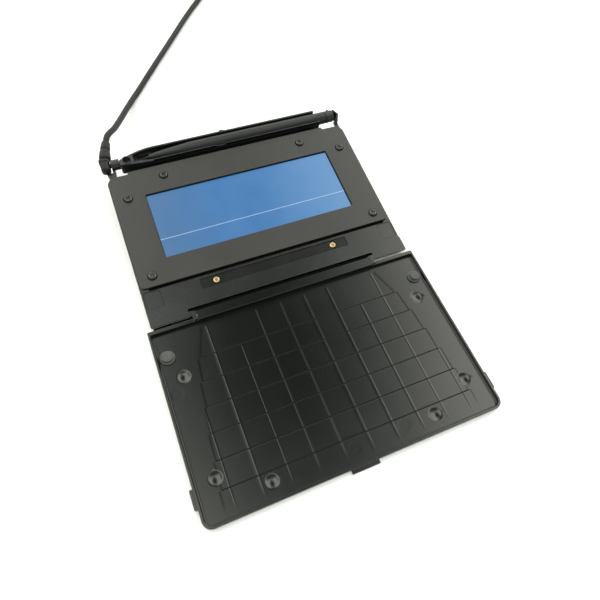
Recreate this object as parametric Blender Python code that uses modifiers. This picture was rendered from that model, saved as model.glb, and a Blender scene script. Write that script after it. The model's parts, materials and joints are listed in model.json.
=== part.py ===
"""Signature pad with a fold-out cover, a rear pen tray and a corded plug.

Metres, +Z up, +X to the user's right, +Y away from the user. The table is at Z = 0.
Everything is laid out from the hinge axis between the pad and its cover: the cover lies flat
on the table towards the user, and the pad is a wedge whose face rises away from the user.
Pad sizes are measured along and square to the pad's face, from the hinge axis.
"""

import math

import bmesh
import bpy
from mathutils import Matrix, Vector

# Fits and mesh detail shared by the whole part
FIT_GAP = 0.0003
OVERRUN = 0.0010
WELD = 0.000002
ROUND_SIDES = 20
SMALL_SIDES = 12
CORNER_STEPS = 4
SMOOTH_DEGREES = 40.0
BEVEL_DEGREES = 40.0
FLAT_DEGREES = 0.1

# Hinge between the cover and the pad
PAD_TILT_DEGREES = 5.64
HINGE_GAP = 0.0019
RIM_ABOVE_AXIS = 0.00025
CLOSED_CLEARANCE = 0.00025
BARREL_RADIUS = 0.00275
BARREL_FROM_SIDE = 0.0291
PIN_RADIUS = 0.0010
EAR_THICKNESS = 0.0018
EAR_RADIUS = 0.0019
EAR_ROOM = 0.00045

# Cover, lying open on the table
COVER_BEYOND_SIDE = 0.0027
COVER_BEYOND_REACH = 0.00325
COVER_HEIGHT = 0.0046
COVER_TRAY_DEPTH = 0.0024
COVER_SIDE_RIM = 0.0012
COVER_FREE_RIM = 0.0012
COVER_HINGE_RIM = 0.0023
COVER_FREE_CORNER = 0.0050
COVER_HINGE_CORNER = 0.0008
COVER_EDGE = 0.0004
LATCH_TAB_WIDTH = 0.0160
LATCH_TAB_LENGTH = 0.0020
LATCH_TAB_HEIGHT = 0.0011
SIDE_TAB_LENGTH = 0.0100
SIDE_TAB_REACH = 0.0017
SIDE_TAB_HEIGHT = 0.0031
SIDE_TAB_FROM_FREE_EDGE = 0.0108
DIMPLE_RADIUS = 0.0035
DIMPLE_FLOOR_RADIUS = 0.0022
DIMPLE_DEPTH = 0.0011

# Rib pattern sunk into the cover's floor
GRID_DEPTH = 0.0005
GRID_START = 0.0070
GRID_END_SET = 0.0010
FIRST_ROW_LENGTH = 0.0172
ROW_PITCH = 0.01405
COLUMN_PITCH = 0.01507
LENGTH_RIB_WIDTH = 0.0012
CROSS_RIB_WIDTH = 0.0007
GRID_HINGE_FROM_SIDE = 0.0292
GRID_FREE_FROM_SIDE = 0.0105
GRID_FLARE_SHARE = 0.55

# Rubber bumpers in the cover
BUMPER_FROM_SIDE = 0.0067
BUMPER_FROM_AXIS = 0.01855
BUMPER_RADIUS = 0.0031
BUMPER_FLANGE_RADIUS = 0.0042
BUMPER_FLANGE_HEIGHT = 0.0008
BUMPER_STEM_RADIUS = 0.0015
BUMPER_STEM_LENGTH = 0.0013
BUMPER_EDGE = 0.0004
BUMPER_PROUD = 0.0002

# Pad housing
PAD_WIDTH = 0.1640
PAD_REACH = 0.1063
PAD_REAR_CORNER = 0.0042
PAD_FRONT_CORNER = 0.0010
TOP_FRAME_THICKNESS = 0.0016
TOP_FRAME_EDGE = 0.00025
BASE_START = 0.0034
BASE_FRONT_WALL = 0.0018
BASE_WALL = 0.0016
BASE_FLOOR = 0.0010
FOOT_HEIGHT = 0.0008
FOOT_RADIUS = 0.0050
FOOT_EDGE = 0.0002
FOOT_FROM_SIDE = 0.0100
FOOT_FROM_END = 0.0110
BOSS_RADIUS = 0.0028
BOSS_SINK = 0.0005
POST_RADIUS = 0.0020
POST_FROM_SCREEN_SIDE = 0.0022
POST_FROM_SCREEN_EDGE = 0.0045
NOTCH_REACH = 0.0055
END_LEDGE_WIDTH = 0.0006
END_LEDGE_START = 0.0012
END_LEDGE_REACH = 0.0110

# Face plate and its screws
FACE_RISE = 0.0012
FACE_SIDE_SET = 0.0010
FACE_START = 0.0252
FACE_FRONT_CORNER = 0.0030
FACE_REAR_CORNER = 0.0040
FACE_EDGE = 0.0003
SCREEN_FROM_SIDE = 0.0198
SCREEN_FROM_REAR = 0.0183
SCREEN_START = 0.0415
SCREEN_CORNER = 0.0013
SCREW_FROM_SIDE = 0.0094
SCREW_REAR_FROM_SIDE = 0.0348
SCREW_FRONT_FROM_PLATE = 0.0067
SCREW_MID_FROM_REAR = 0.0184
SCREW_REAR_FROM_REAR = 0.0068
SCREW_HEAD_RADIUS = 0.0025
SCREW_HEAD_HEIGHT = 0.0009
SCREW_HEAD_EDGE = 0.0004
SCREW_SHANK_RADIUS = 0.0012
SCREW_LENGTH = 0.0052
SCREW_SLOT_WIDTH = 0.0006
SCREW_SLOT_LENGTH = 0.0028
SCREW_SLOT_DEPTH = 0.0005

# Strip between the face plate and the hinge
SEAM_WIDTH = 0.0017
SEAM_DEPTH = 0.0010
SEAM_FROM_SIDE = 0.0050
SEAM_CORNER = 0.0008
CHANNEL_FROM_SIDE = 0.03425
CHANNEL_START = 0.0155
CHANNEL_END = 0.0220
CHANNEL_CORNER = 0.0008
CHANNEL_DEPTH = 0.0009
INLAY_THICKNESS = 0.0003
STUD_FROM_CHANNEL_END = 0.00965
STUD_RADIUS = 0.00215
STUD_LENGTH = 0.0013
STUD_BELOW_STRIP = 0.0001
REST_WIDTH = 0.0100
REST_LENGTH = 0.0112
REST_START = 0.0120
REST_FROM_SIDE = 0.0010
REST_DEPTH = 0.0003
REST_CORNER = 0.0018

# Screen stack and electronics inside the pad
WINDOW_MARGIN = 0.0030
WINDOW_THICKNESS = 0.0011
CELL_THICKNESS = 0.0013
BACKLIGHT_THICKNESS = 0.0012
SENSOR_THICKNESS = 0.0008
SENSOR_MARGIN = 0.0045
BOARD_FROM_SIDE = 0.0270
BOARD_FROM_REAR = 0.0108
BOARD_LENGTH = 0.0275
BOARD_THICKNESS = 0.0012
BOARD_BELOW_SENSOR = 0.0016
BOARD_HOLE_INSET = 0.0045
STANDOFF_RADIUS = 0.0021
BOARD_SCREW_HEAD_RADIUS = 0.0020
BOARD_SCREW_HEAD_HEIGHT = 0.0008
BOARD_SCREW_SHANK_RADIUS = 0.0008
BOARD_SCREW_LENGTH = 0.0023
CHIP_HEIGHT = 0.0010
CHIP_SIZE = 0.0100
CHIP_SPACING = 0.0200
CHIP_FROM_BOARD_START = 0.0060
RIBBON_WIDTH = 0.0300
RIBBON_THICKNESS = 0.0002
RIBBON_BEND = 0.0008
RIBBON_LAP = 0.0035
HEADER_WIDTH = 0.0080
HEADER_LENGTH = 0.0050
HEADER_HEIGHT = 0.0010
HEADER_FROM_BOARD_SIDE = 0.0190
HEADER_FROM_BOARD_END = 0.0015
LEAD_RADIUS = 0.0006
LEAD_FROM_SIDE = 0.0046
LEAD_LEVEL = -0.0037
LEAD_TURN = 0.0030
LEAD_LANE_SET = 0.0009
LEAD_SPACING = 0.0020

# Pen tray behind the pad
TRAY_FROM_PAD = 0.0042
TRAY_WALL = 0.0013
TRAY_WELL = 0.0090
TRAY_FLOOR = 0.0013
TRAY_TOP = 0.0030
TRAY_LEFT_FROM_SIDE = 0.0110
TRAY_RIGHT_FROM_SIDE = 0.0160
TRAY_TAPER = 0.0210
TRAY_TAPER_STEPS = 6
TRAY_NOSE_NEAR_SET = 0.0022
TRAY_NOSE_FAR_SET = 0.0053
TRAY_NOSE_CURVE_SHARE = 1.6
TRAY_DIVIDER_FROM_END = 0.0090
TRAY_EYE_RADIUS = 0.0025
TRAY_EYE_FROM_END = 0.0046
TRAY_BUMP_RADIUS = 0.0024
TRAY_BUMP_REACH = 0.0011
TRAY_BUMP_HEIGHT = 0.0030
TRAY_BUMP_FROM_MIDDLE = 0.00135
TRAY_NOTCH_WIDTH = 0.0064
TRAY_NOTCH_DEPTH = 0.0010
TRAY_NOTCH_FROM_MIDDLE = 0.0048
TRAY_SLANT = 0.0012
TRAY_WEB_THICKNESS = 0.0018
TRAY_WEB_SIDE_SET = 0.0030
TRAY_FLANGE_THICKNESS = 0.0016
TRAY_FLANGE_TOP = -0.0038
TRAY_FLANGE_BOTTOM = -0.0110
TRAY_SCREW_SPACING = 0.0450
TRAY_SCREW_LEVEL = -0.0087
TRAY_SCREW_LENGTH = 0.0050
TRAY_BOSS_RADIUS = 0.0024

# Stylus lying in the tray
STYLUS_RADIUS = 0.0041
STYLUS_ABOVE_AXIS = -0.00014
STYLUS_END_GAP = 0.0004
STYLUS_TIP_FROM_DIVIDER = 0.0059
STYLUS_NIB_LENGTH = 0.0036
STYLUS_NIB_RADIUS = 0.0010
STYLUS_NIB_POINT_RADIUS = 0.0005
STYLUS_NIB_SHANK = 0.0060
STYLUS_NECK_RADIUS = 0.0019
STYLUS_NECK_LENGTH = 0.0012
STYLUS_CONE_LENGTH = 0.0265
STYLUS_CONE_STEPS = 5
STYLUS_CONE_CURVE_SHARE = 0.75
STYLUS_CAP_LENGTH = 0.0060
STYLUS_CAP_EDGE = 0.0008
STYLUS_CAP_SPIGOT_RADIUS = 0.0026
STYLUS_CAP_SPIGOT_LENGTH = 0.0050

# Bracket at the right end of the tray
STOP_THICKNESS = 0.0013
STOP_TOP = 0.0020
STOP_ARM_WIDTH = 0.0028
STOP_FROM_SIDE = 0.0010
STOP_RISE_FROM_PAD = 0.0036
STOP_ELBOW_OUT = 0.0025
STOP_ELBOW_FROM_PAD = 0.0089
STOP_END_OUT = 0.0002
STOP_END_FROM_PAD = 0.0136

# Arm and socket at the left end of the tray
ARM_WIDTH = 0.0038
ARM_FROM_SIDE = 0.0027
ARM_LEAN = 0.0014
ARM_TOP = -0.0009
ARM_BOTTOM = -0.0056
ARM_FOOT_BOTTOM = -0.0090
ARM_FOOT_THICKNESS = 0.0016
ARM_FINGER_WIDTH = 0.0020
ARM_FINGER_REACH = 0.0015
SOCKET_RADIUS = 0.0034
SOCKET_LENGTH = 0.0053
SOCKET_BORE = 0.0019

# Right-angle cable entry and its strain relief
ELBOW_WIDTH = 0.0057
ELBOW_HEIGHT = 0.0068
ELBOW_LENGTH = 0.0098
ELBOW_FROM_TRAY_FRONT = 0.0011
ELBOW_EDGE = 0.0010
SPIGOT_RADIUS = 0.0015
SPIGOT_LENGTH = 0.0032
RELIEF_ROOT_RADIUS = 0.0033
RELIEF_END_RADIUS = 0.0025
RELIEF_LENGTH = 0.0143
RELIEF_ROOT_SET = 0.00075
RELIEF_SIDESTEP = 0.0038
RELIEF_CURVE_SHARE = 1.3
RELIEF_STEPS = 8

# Cable from the strain relief to the coil, and from the coil to the plug.
# Both routes are points chosen by hand, in metres from the part's origin.
CABLE_RADIUS = 0.0020
CABLE_SPACING = 0.0080
CABLE_ROUTE = (
    (-0.07510, 0.13011, 0.01761),
    (-0.07370, 0.13410, 0.01765),
    (-0.07110, 0.13870, 0.01650),
    (-0.06750, 0.14500, 0.01370),
    (-0.06210, 0.15670, 0.00960),
    (-0.05490, 0.17220, 0.00500),
    (-0.04820, 0.18410, 0.00260),
    (-0.04180, 0.19290, 0.00215),
    (-0.03000, 0.20900, 0.00215),
    (-0.01720, 0.22610, 0.00215),
    (0.00000, 0.24900, 0.00215),
    (0.01140, 0.26440, 0.00215),
    (0.02290, 0.27920, 0.00215),
    (0.03300, 0.29120, 0.00215),
    (0.04120, 0.30160, 0.00255),
    (0.04826, 0.31098, 0.00315),
    (0.05032, 0.31440, 0.00320),
)
TAIL_ROUTE = (
    (0.04609, 0.36279, 0.01670),
    (0.04346, 0.36580, 0.01665),
    (0.03760, 0.37030, 0.01500),
    (0.03000, 0.37320, 0.01130),
    (0.02200, 0.37390, 0.00730),
    (0.01450, 0.37250, 0.00480),
    (0.00830, 0.37010, 0.00410),
    (0.00430, 0.36900, 0.00400),
)

# Coil of the cable that isn't in use, and its tie
COIL_PLACE = (0.0300, 0.3370)
COIL_TURNS = 10.25
COIL_LAYERS = 4
COIL_MIDDLE_RADIUS = 0.0236
COIL_PITCH = 0.00455
COIL_LAYER_STEP = 0.0045
COIL_UNDERSIDE = 0.0012
COIL_START_DEGREES = -40.0
COIL_CLIMB_TURNS = 0.5
COIL_POINTS = 24
GAP_TEST_SHARES = (0.0, 0.25, 0.5, 0.75)
TIE_WIDTH = 0.0050
TIE_THICKNESS = 0.0009
TIE_CLEARANCE = 0.0008
TIE_CORNER = 0.0012
TIE_DEGREES = 180.0

# Plug on the far end of the cable
PLUG_PLACE = (0.0040, 0.36892, 0.0040)
PLUG_DEGREES = 194.0
GRIP_LENGTH = 0.0220
GRIP_WIDTH = 0.0150
GRIP_HEIGHT = 0.0078
GRIP_EDGE = 0.0015
SHELL_LENGTH = 0.0150
SHELL_WIDTH = 0.0120
SHELL_HEIGHT = 0.0045
SHELL_WALL = 0.0004
SHELL_TONGUE = 0.0018
SHELL_MOUTH_DEPTH = 0.0100

# Finishes: colour, roughness and metallic value
HOUSING_GREY = ((0.060, 0.061, 0.058), 0.50, 0.0)
FACE_GREY = ((0.085, 0.086, 0.082), 0.55, 0.0)
COVER_BLACK = ((0.022, 0.026, 0.026), 0.28, 0.0)
TRAY_BLACK = ((0.030, 0.032, 0.033), 0.35, 0.0)
INLAY_BLACK = ((0.015, 0.015, 0.015), 0.50, 0.0)
RUBBER_BLACK = ((0.045, 0.045, 0.045), 0.80, 0.0)
SCREEN_BLUE = ((0.180, 0.330, 0.620), 0.15, 0.0)
CELL_GREY = ((0.300, 0.330, 0.350), 0.30, 0.0)
LIGHT_GUIDE_WHITE = ((0.700, 0.700, 0.680), 0.50, 0.0)
BOARD_GREEN = ((0.030, 0.160, 0.070), 0.50, 0.0)
RIBBON_AMBER = ((0.550, 0.280, 0.060), 0.45, 0.0)
DARK_STEEL = ((0.060, 0.060, 0.062), 0.40, 0.8)
BRIGHT_STEEL = ((0.600, 0.600, 0.600), 0.30, 1.0)
STUD_BRASS = ((0.780, 0.560, 0.230), 0.30, 1.0)
STYLUS_GREY = ((0.070, 0.076, 0.074), 0.40, 0.0)
CABLE_GREY = ((0.060, 0.062, 0.060), 0.60, 0.0)

# Levels worked out from the sizes, square to the pad's face
PAD_TILT = math.radians(PAD_TILT_DEGREES)
AXIS_HEIGHT = COVER_HEIGHT - RIM_ABOVE_AXIS
STRIP_TOP = -(RIM_ABOVE_AXIS + CLOSED_CLEARANCE)
FACE_TOP = STRIP_TOP + FACE_RISE
FACE_BOTTOM = STRIP_TOP + FIT_GAP
FRAME_BOTTOM = STRIP_TOP - TOP_FRAME_THICKNESS
BASE_TOP = FRAME_BOTTOM - FIT_GAP
WINDOW_TOP = FACE_BOTTOM - FIT_GAP
CELL_TOP = WINDOW_TOP - WINDOW_THICKNESS - FIT_GAP
BACKLIGHT_TOP = CELL_TOP - CELL_THICKNESS - FIT_GAP
SENSOR_TOP = BACKLIGHT_TOP - BACKLIGHT_THICKNESS - FIT_GAP
SENSOR_BOTTOM = SENSOR_TOP - SENSOR_THICKNESS
BOARD_TOP = SENSOR_BOTTOM - BOARD_BELOW_SENSOR
BOARD_BOTTOM = BOARD_TOP - BOARD_THICKNESS
CHANNEL_FLOOR = STRIP_TOP - CHANNEL_DEPTH
INLAY_TOP = CHANNEL_FLOOR + FIT_GAP + INLAY_THICKNESS
SCREW_SEAT = FACE_TOP + FIT_GAP
SCREW_END = SCREW_SEAT - SCREW_LENGTH
BOARD_SCREW_SEAT = BOARD_TOP + FIT_GAP
BOARD_SCREW_END = BOARD_SCREW_SEAT - BOARD_SCREW_LENGTH
COVER_BOTTOM = RIM_ABOVE_AXIS - COVER_HEIGHT
COVER_FLOOR = RIM_ABOVE_AXIS - COVER_TRAY_DEPTH

# Widths and places across the part, worked out from the pad's width
COVER_WIDTH = PAD_WIDTH + 2 * COVER_BEYOND_SIDE
BARREL_LENGTH = COVER_WIDTH - 2 * BARREL_FROM_SIDE
BUMPER_SPREAD = COVER_WIDTH - 2 * BUMPER_FROM_SIDE
GRID_HINGE_HALF_WIDTH = COVER_WIDTH / 2 - GRID_HINGE_FROM_SIDE
GRID_FREE_HALF_WIDTH = COVER_WIDTH / 2 - GRID_FREE_FROM_SIDE
SCREW_SIDE_SPREAD = PAD_WIDTH - 2 * SCREW_FROM_SIDE
SCREW_REAR_SPREAD = PAD_WIDTH - 2 * SCREW_REAR_FROM_SIDE
SCREEN_WIDTH = PAD_WIDTH - 2 * SCREEN_FROM_SIDE
POST_SPREAD = SCREEN_WIDTH - 2 * POST_FROM_SCREEN_SIDE
CHANNEL_WIDTH = PAD_WIDTH - 2 * CHANNEL_FROM_SIDE
STUD_SPREAD = CHANNEL_WIDTH - 2 * STUD_FROM_CHANNEL_END
BOARD_WIDTH = PAD_WIDTH - 2 * BOARD_FROM_SIDE
HEADER_FROM_MIDDLE = BOARD_WIDTH / 2 - HEADER_FROM_BOARD_SIDE
LEAD_FROM_MIDDLE = PAD_WIDTH / 2 - LEAD_FROM_SIDE
TRAY_LEFT = PAD_WIDTH / 2 - TRAY_LEFT_FROM_SIDE
TRAY_RIGHT = PAD_WIDTH / 2 - TRAY_RIGHT_FROM_SIDE
TRAY_DIVIDER = TRAY_LEFT - TRAY_DIVIDER_FROM_END
ARM_OUTSIDE = PAD_WIDTH / 2 - ARM_FROM_SIDE
STOP_FROM_MIDDLE = PAD_WIDTH / 2 - STOP_FROM_SIDE
STYLUS_TIP_FROM_MIDDLE = TRAY_DIVIDER - STYLUS_TIP_FROM_DIVIDER
STYLUS_LENGTH = STYLUS_TIP_FROM_MIDDLE + STOP_FROM_MIDDLE - STOP_THICKNESS - STYLUS_END_GAP

# Distances worked out from the sizes, from the hinge axis along the pad or the cover
HINGE_EDGE = HINGE_GAP / 2
COVER_REACH = PAD_REACH + COVER_BEYOND_REACH
SCREEN_END = PAD_REACH - SCREEN_FROM_REAR
SCREW_FRONT_FROM_AXIS = FACE_START + SCREW_FRONT_FROM_PLATE
SCREW_MID_FROM_AXIS = PAD_REACH - SCREW_MID_FROM_REAR
SCREW_REAR_FROM_AXIS = PAD_REACH - SCREW_REAR_FROM_REAR
BOARD_END = PAD_REACH - BOARD_FROM_REAR
BOARD_START = BOARD_END - BOARD_LENGTH
TRAY_START = PAD_REACH + TRAY_FROM_PAD
STOP_RISE_FROM_AXIS = PAD_REACH + STOP_RISE_FROM_PAD
STOP_ELBOW_FROM_AXIS = PAD_REACH + STOP_ELBOW_FROM_PAD
STOP_END_FROM_AXIS = PAD_REACH + STOP_END_FROM_PAD
ELBOW_FRONT_FROM_AXIS = TRAY_START + ELBOW_FROM_TRAY_FRONT
GRID_END = COVER_REACH - COVER_FREE_RIM - GRID_END_SET
PAD_INSIDE_REAR = PAD_REACH - BASE_WALL
TRAY_END = TRAY_START + TRAY_WELL + 2 * TRAY_WALL
STYLUS_FROM_AXIS = TRAY_START + TRAY_WALL + TRAY_WELL / 2
TRAY_WELL_FLOOR = STYLUS_ABOVE_AXIS - STYLUS_RADIUS - FIT_GAP
TRAY_BOTTOM = TRAY_WELL_FLOOR - TRAY_FLOOR
ARM_END = ELBOW_FRONT_FROM_AXIS - FIT_GAP
FLANGE_START = PAD_REACH + FIT_GAP
FLANGE_END = FLANGE_START + TRAY_FLANGE_THICKNESS
TRAY_SCREW_SEAT = FLANGE_END + FIT_GAP
TRAY_SCREW_END = TRAY_SCREW_SEAT - TRAY_SCREW_LENGTH
SOCKET_RIGHT = -(TRAY_LEFT + FIT_GAP)
SOCKET_LEFT = SOCKET_RIGHT - SOCKET_LENGTH
ELBOW_RIGHT = SOCKET_LEFT - FIT_GAP
RELIEF_ROOT_X = ELBOW_RIGHT - ELBOW_WIDTH / 2 + RELIEF_ROOT_SET

# The origin is the middle of the footprint, without the cable
FRONT_REACH = COVER_REACH + LATCH_TAB_LENGTH
REAR_REACH = (
    (TRAY_END + TRAY_BUMP_REACH) * math.cos(PAD_TILT)
    - (TRAY_TOP - TRAY_BUMP_HEIGHT) * math.sin(PAD_TILT)
)
AXIS_Y = (FRONT_REACH - REAR_REACH) / 2


def table_level(from_axis, height):
    """Level, square to the pad's face, of a point at this height over the table."""
    rise = height - AXIS_HEIGHT - from_axis * math.sin(PAD_TILT)
    return rise / math.cos(PAD_TILT)


def base_underside(from_axis):
    return table_level(from_axis, FOOT_HEIGHT)


def base_floor(from_axis):
    return base_underside(from_axis) + BASE_FLOOR


# Scene, frames and materials

def new_collection(name):
    group = bpy.data.collections.new(name)
    bpy.context.scene.collection.children.link(group)
    return group


for leftover in list(bpy.data.objects):
    bpy.data.objects.remove(leftover)

parts = new_collection("signature_pad")
cutters = new_collection("cutters")


def new_frame(name, location, parent=None, tilt=0.0, turn=0.0):
    frame = bpy.data.objects.new(name, None)
    parts.objects.link(frame)
    frame.parent = parent
    frame.location = location
    frame.rotation_euler = (tilt, 0.0, turn)
    return frame


table_frame = new_frame("table_frame", (0.0, 0.0, 0.0))
cover_frame = new_frame("cover_frame", (0.0, AXIS_Y, AXIS_HEIGHT))
pad_frame = new_frame("pad_frame", (0.0, AXIS_Y, AXIS_HEIGHT), tilt=PAD_TILT)
stylus_frame = new_frame("stylus_frame", (0.0, STYLUS_FROM_AXIS, STYLUS_ABOVE_AXIS), pad_frame)
plug_frame = new_frame("plug_frame", PLUG_PLACE, table_frame,
                       turn=math.radians(PLUG_DEGREES))


def material_of(name, finish):
    colour, roughness, metallic = finish
    material = bpy.data.materials.new(name)
    material.use_nodes = True
    shader = material.node_tree.nodes["Principled BSDF"]
    shader.inputs["Base Color"].default_value = (*colour, 1.0)
    shader.inputs["Roughness"].default_value = roughness
    shader.inputs["Metallic"].default_value = metallic
    return material


def place(name, mesh, frame, finish, spot=(0.0, 0.0)):
    """Link a named piece, its mesh given in its frame's coordinates, from a spot in X and Y."""
    if not mesh.materials:
        mesh.name = name
        mesh.materials.append(material_of(name, finish))
        mesh.shade_smooth()
        mesh.set_sharp_from_angle(angle=math.radians(SMOOTH_DEGREES))
    part = bpy.data.objects.new(name, mesh)
    parts.objects.link(part)
    part.parent = frame
    part.location = (spot[0], spot[1], 0.0)
    return part


def place_copies(name, mesh, places, frame, finish):
    """Link a numbered copy of the same piece at each place."""
    return [
        place(f"{name}_{count}", mesh, frame, finish, spot)
        for count, spot in enumerate(places, 1)
    ]


def soften(part, width, segments=2):
    """Round the sharp edges that the piece has so far."""
    bevel = part.modifiers.new("edges", "BEVEL")
    bevel.width = width
    bevel.segments = segments
    bevel.limit_method = "ANGLE"
    bevel.angle_limit = math.radians(BEVEL_DEGREES)
    return part


# Mesh builders: each gives a mesh of closed bodies

def finished(bm):
    bmesh.ops.recalc_face_normals(bm, faces=bm.faces[:])
    mesh = bpy.data.meshes.new("solid")
    bm.to_mesh(mesh)
    bm.free()
    return mesh


def moved(mesh, matrix):
    mesh.transform(matrix)
    return mesh


def joined(meshes):
    """Several meshes as one, each still a body of its own."""
    bm = bmesh.new()
    for mesh in meshes:
        bm.from_mesh(mesh)
        bpy.data.meshes.remove(mesh)
    return finished(bm)


def copies(mesh, places):
    """The same solid at several places, as one mesh."""
    twins = []
    for spot in places:
        twin = mesh.copy()
        twin.transform(Matrix.Translation((spot[0], spot[1], 0.0)))
        twins.append(twin)
    bpy.data.meshes.remove(mesh)
    return joined(twins)


def box(x_span, y_span, z_span):
    bm = bmesh.new()
    bmesh.ops.create_cube(bm, size=1.0)
    for vert in bm.verts:
        vert.co.x = x_span[vert.co.x > 0]
        vert.co.y = y_span[vert.co.y > 0]
        vert.co.z = z_span[vert.co.z > 0]
    return finished(bm)


def upright_rod(spot, radius, low, high, sides=ROUND_SIDES, top_radius=None):
    """A cylinder or cone along Z, between two levels."""
    bm = bmesh.new()
    bmesh.ops.create_cone(
        bm,
        cap_ends=True,
        segments=sides,
        radius1=radius,
        radius2=radius if top_radius is None else top_radius,
        depth=high - low,
        matrix=Matrix.Translation((spot[0], spot[1], (low + high) / 2)),
    )
    return finished(bm)


def cross_rod(x_span, y, z, radius, sides=ROUND_SIDES):
    """A cylinder along X."""
    mesh = upright_rod((0.0, 0.0), radius, x_span[0], x_span[1], sides)
    turn = Matrix.Rotation(math.radians(90.0), 4, "Y")
    return moved(mesh, Matrix.Translation((0.0, y, z)) @ turn)


def deep_rod(x, y_span, z, radius, sides=ROUND_SIDES):
    """A cylinder along Y."""
    mesh = upright_rod((0.0, 0.0), radius, y_span[0], y_span[1], sides)
    turn = Matrix.Rotation(math.radians(-90.0), 4, "X")
    return moved(mesh, Matrix.Translation((x, 0.0, z)) @ turn)


def solid_of(guide):
    """The closed mesh of a curve or an open mesh with modifiers, its seams welded."""
    bpy.context.scene.collection.objects.link(guide)
    seen = guide.evaluated_get(bpy.context.evaluated_depsgraph_get())
    mesh = bpy.data.meshes.new_from_object(seen)
    bpy.data.objects.remove(guide)
    bm = bmesh.new()
    bm.from_mesh(mesh)
    bpy.data.meshes.remove(mesh)
    bmesh.ops.remove_doubles(bm, verts=bm.verts[:], dist=WELD)
    bmesh.ops.dissolve_limit(bm, angle_limit=math.radians(FLAT_DEGREES),
                             verts=bm.verts[:], edges=bm.edges[:])
    return finished(bm)


def slab(outline, low, high):
    """A flat outline in X and Y, extruded between two levels."""
    curve = bpy.data.curves.new("outline", "CURVE")
    curve.dimensions = "2D"
    curve.fill_mode = "BOTH"
    curve.extrude = (high - low) / 2
    spline = curve.splines.new("POLY")
    spline.points.add(len(outline) - 1)
    for point, (x, y) in zip(spline.points, outline):
        point.co = (x, y, 0.0, 1.0)
    spline.use_cyclic_u = True
    mesh = solid_of(bpy.data.objects.new("outline", curve))
    bpy.data.curves.remove(curve)
    return moved(mesh, Matrix.Translation((0.0, 0.0, (low + high) / 2)))


def wedge(outline, level_at, high):
    """A slab whose underside follows a level that changes with Y."""
    low = min(level_at(y) for x, y in outline)
    mesh = slab(outline, low, high)
    for vert in mesh.vertices:
        if vert.co.z < low + WELD:
            vert.co.z = level_at(vert.co.y)
    return mesh


def rounded(x_span, y_span, near_radius, far_radius=None):
    """Outline of a rectangle: near_radius at its low Y corners, far_radius at the others."""
    far_radius = near_radius if far_radius is None else far_radius
    corners = (
        (x_span[0], y_span[0], near_radius, 1, 1, 180.0),
        (x_span[1], y_span[0], near_radius, -1, 1, 270.0),
        (x_span[1], y_span[1], far_radius, -1, -1, 0.0),
        (x_span[0], y_span[1], far_radius, 1, -1, 90.0),
    )
    outline = []
    for x, y, radius, to_x, to_y, start in corners:
        for step in range(CORNER_STEPS + 1):
            angle = math.radians(start + 90.0 * step / CORNER_STEPS)
            outline.append((
                x + to_x * radius + radius * math.cos(angle),
                y + to_y * radius + radius * math.sin(angle),
            ))
    return outline


def turned(profile, sides=ROUND_SIDES):
    """A solid of revolution about Z. The profile is (radius, height), from the top down."""
    mesh = bpy.data.meshes.new("profile")
    points = [(radius, 0.0, height) for radius, height in profile]
    mesh.from_pydata(points, [(i, i + 1) for i in range(len(points) - 1)], [])
    guide = bpy.data.objects.new("profile", mesh)
    screw = guide.modifiers.new("turn", "SCREW")
    screw.steps = sides
    screw.render_steps = sides
    screw.use_merge_vertices = True
    screw.merge_threshold = WELD
    solid = solid_of(guide)
    bpy.data.meshes.remove(mesh)
    return solid


def tube(points, radius, resolution=2, radius_shares=None):
    """A capped tube through the points, its radius scaled by a share at each."""
    curve = bpy.data.curves.new("tube", "CURVE")
    curve.dimensions = "3D"
    curve.bevel_depth = radius
    curve.bevel_resolution = resolution
    curve.use_fill_caps = True
    spline = curve.splines.new("POLY")
    spline.points.add(len(points) - 1)
    for i, (point, spot) in enumerate(zip(spline.points, points)):
        point.co = (*spot, 1.0)
        point.radius = 1.0 if radius_shares is None else radius_shares[i]
    mesh = solid_of(bpy.data.objects.new("tube", curve))
    bpy.data.curves.remove(curve)
    return mesh


def smooth_path(route, spacing):
    """Points of one smooth curve through the route, about one spacing apart."""
    spots = [Vector(spot) for spot in route]
    ends = [2 * spots[0] - spots[1], *spots, 2 * spots[-1] - spots[-2]]
    path = []
    for before, start, end, after in zip(ends, ends[1:], ends[2:], ends[3:]):
        steps = max(1, round((end - start).length / spacing))
        for step in range(steps):
            t = step / steps
            path.append((
                2 * start + (end - before) * t
                + (2 * before - 5 * start + 4 * end - after) * t ** 2
                + (3 * start - before - 3 * end + after) * t ** 3
            ) / 2)
    path.append(spots[-1])
    return path


def path_length(path):
    return sum((b - a).length for a, b in zip(path, path[1:]))


def boolean(part, tool_mesh, operation):
    """Cut a mesh from a piece or unite it with the piece, in the piece's own place."""
    tool = bpy.data.objects.new(f"{part.name}_{operation.lower()}", tool_mesh)
    cutters.objects.link(tool)
    tool.parent = part.parent
    tool.location = part.location
    tool.hide_render = True
    tool.display_type = "WIRE"
    modifier = part.modifiers.new(operation.lower(), "BOOLEAN")
    modifier.operation = operation
    modifier.solver = "EXACT"
    modifier.object = tool


def cut(part, *meshes):
    """Cut solids that don't touch each other from a piece, all at once."""
    boolean(part, joined(meshes), "DIFFERENCE")


def add(part, *meshes):
    """Unite solids that don't touch each other with a piece, all at once."""
    boolean(part, joined(meshes), "UNION")


def half_span(width, extra=0.0):
    return (-width / 2 - extra, width / 2 + extra)


def pair(spread, from_axis):
    return [(-spread / 2, from_axis), (spread / 2, from_axis)]


def both_sides(mesh):
    """A mesh and its mirror image across the middle of the part."""
    twin = mesh.copy()
    twin.transform(Matrix.Scale(-1.0, 4, (1.0, 0.0, 0.0)))
    return joined([mesh, twin])


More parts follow.
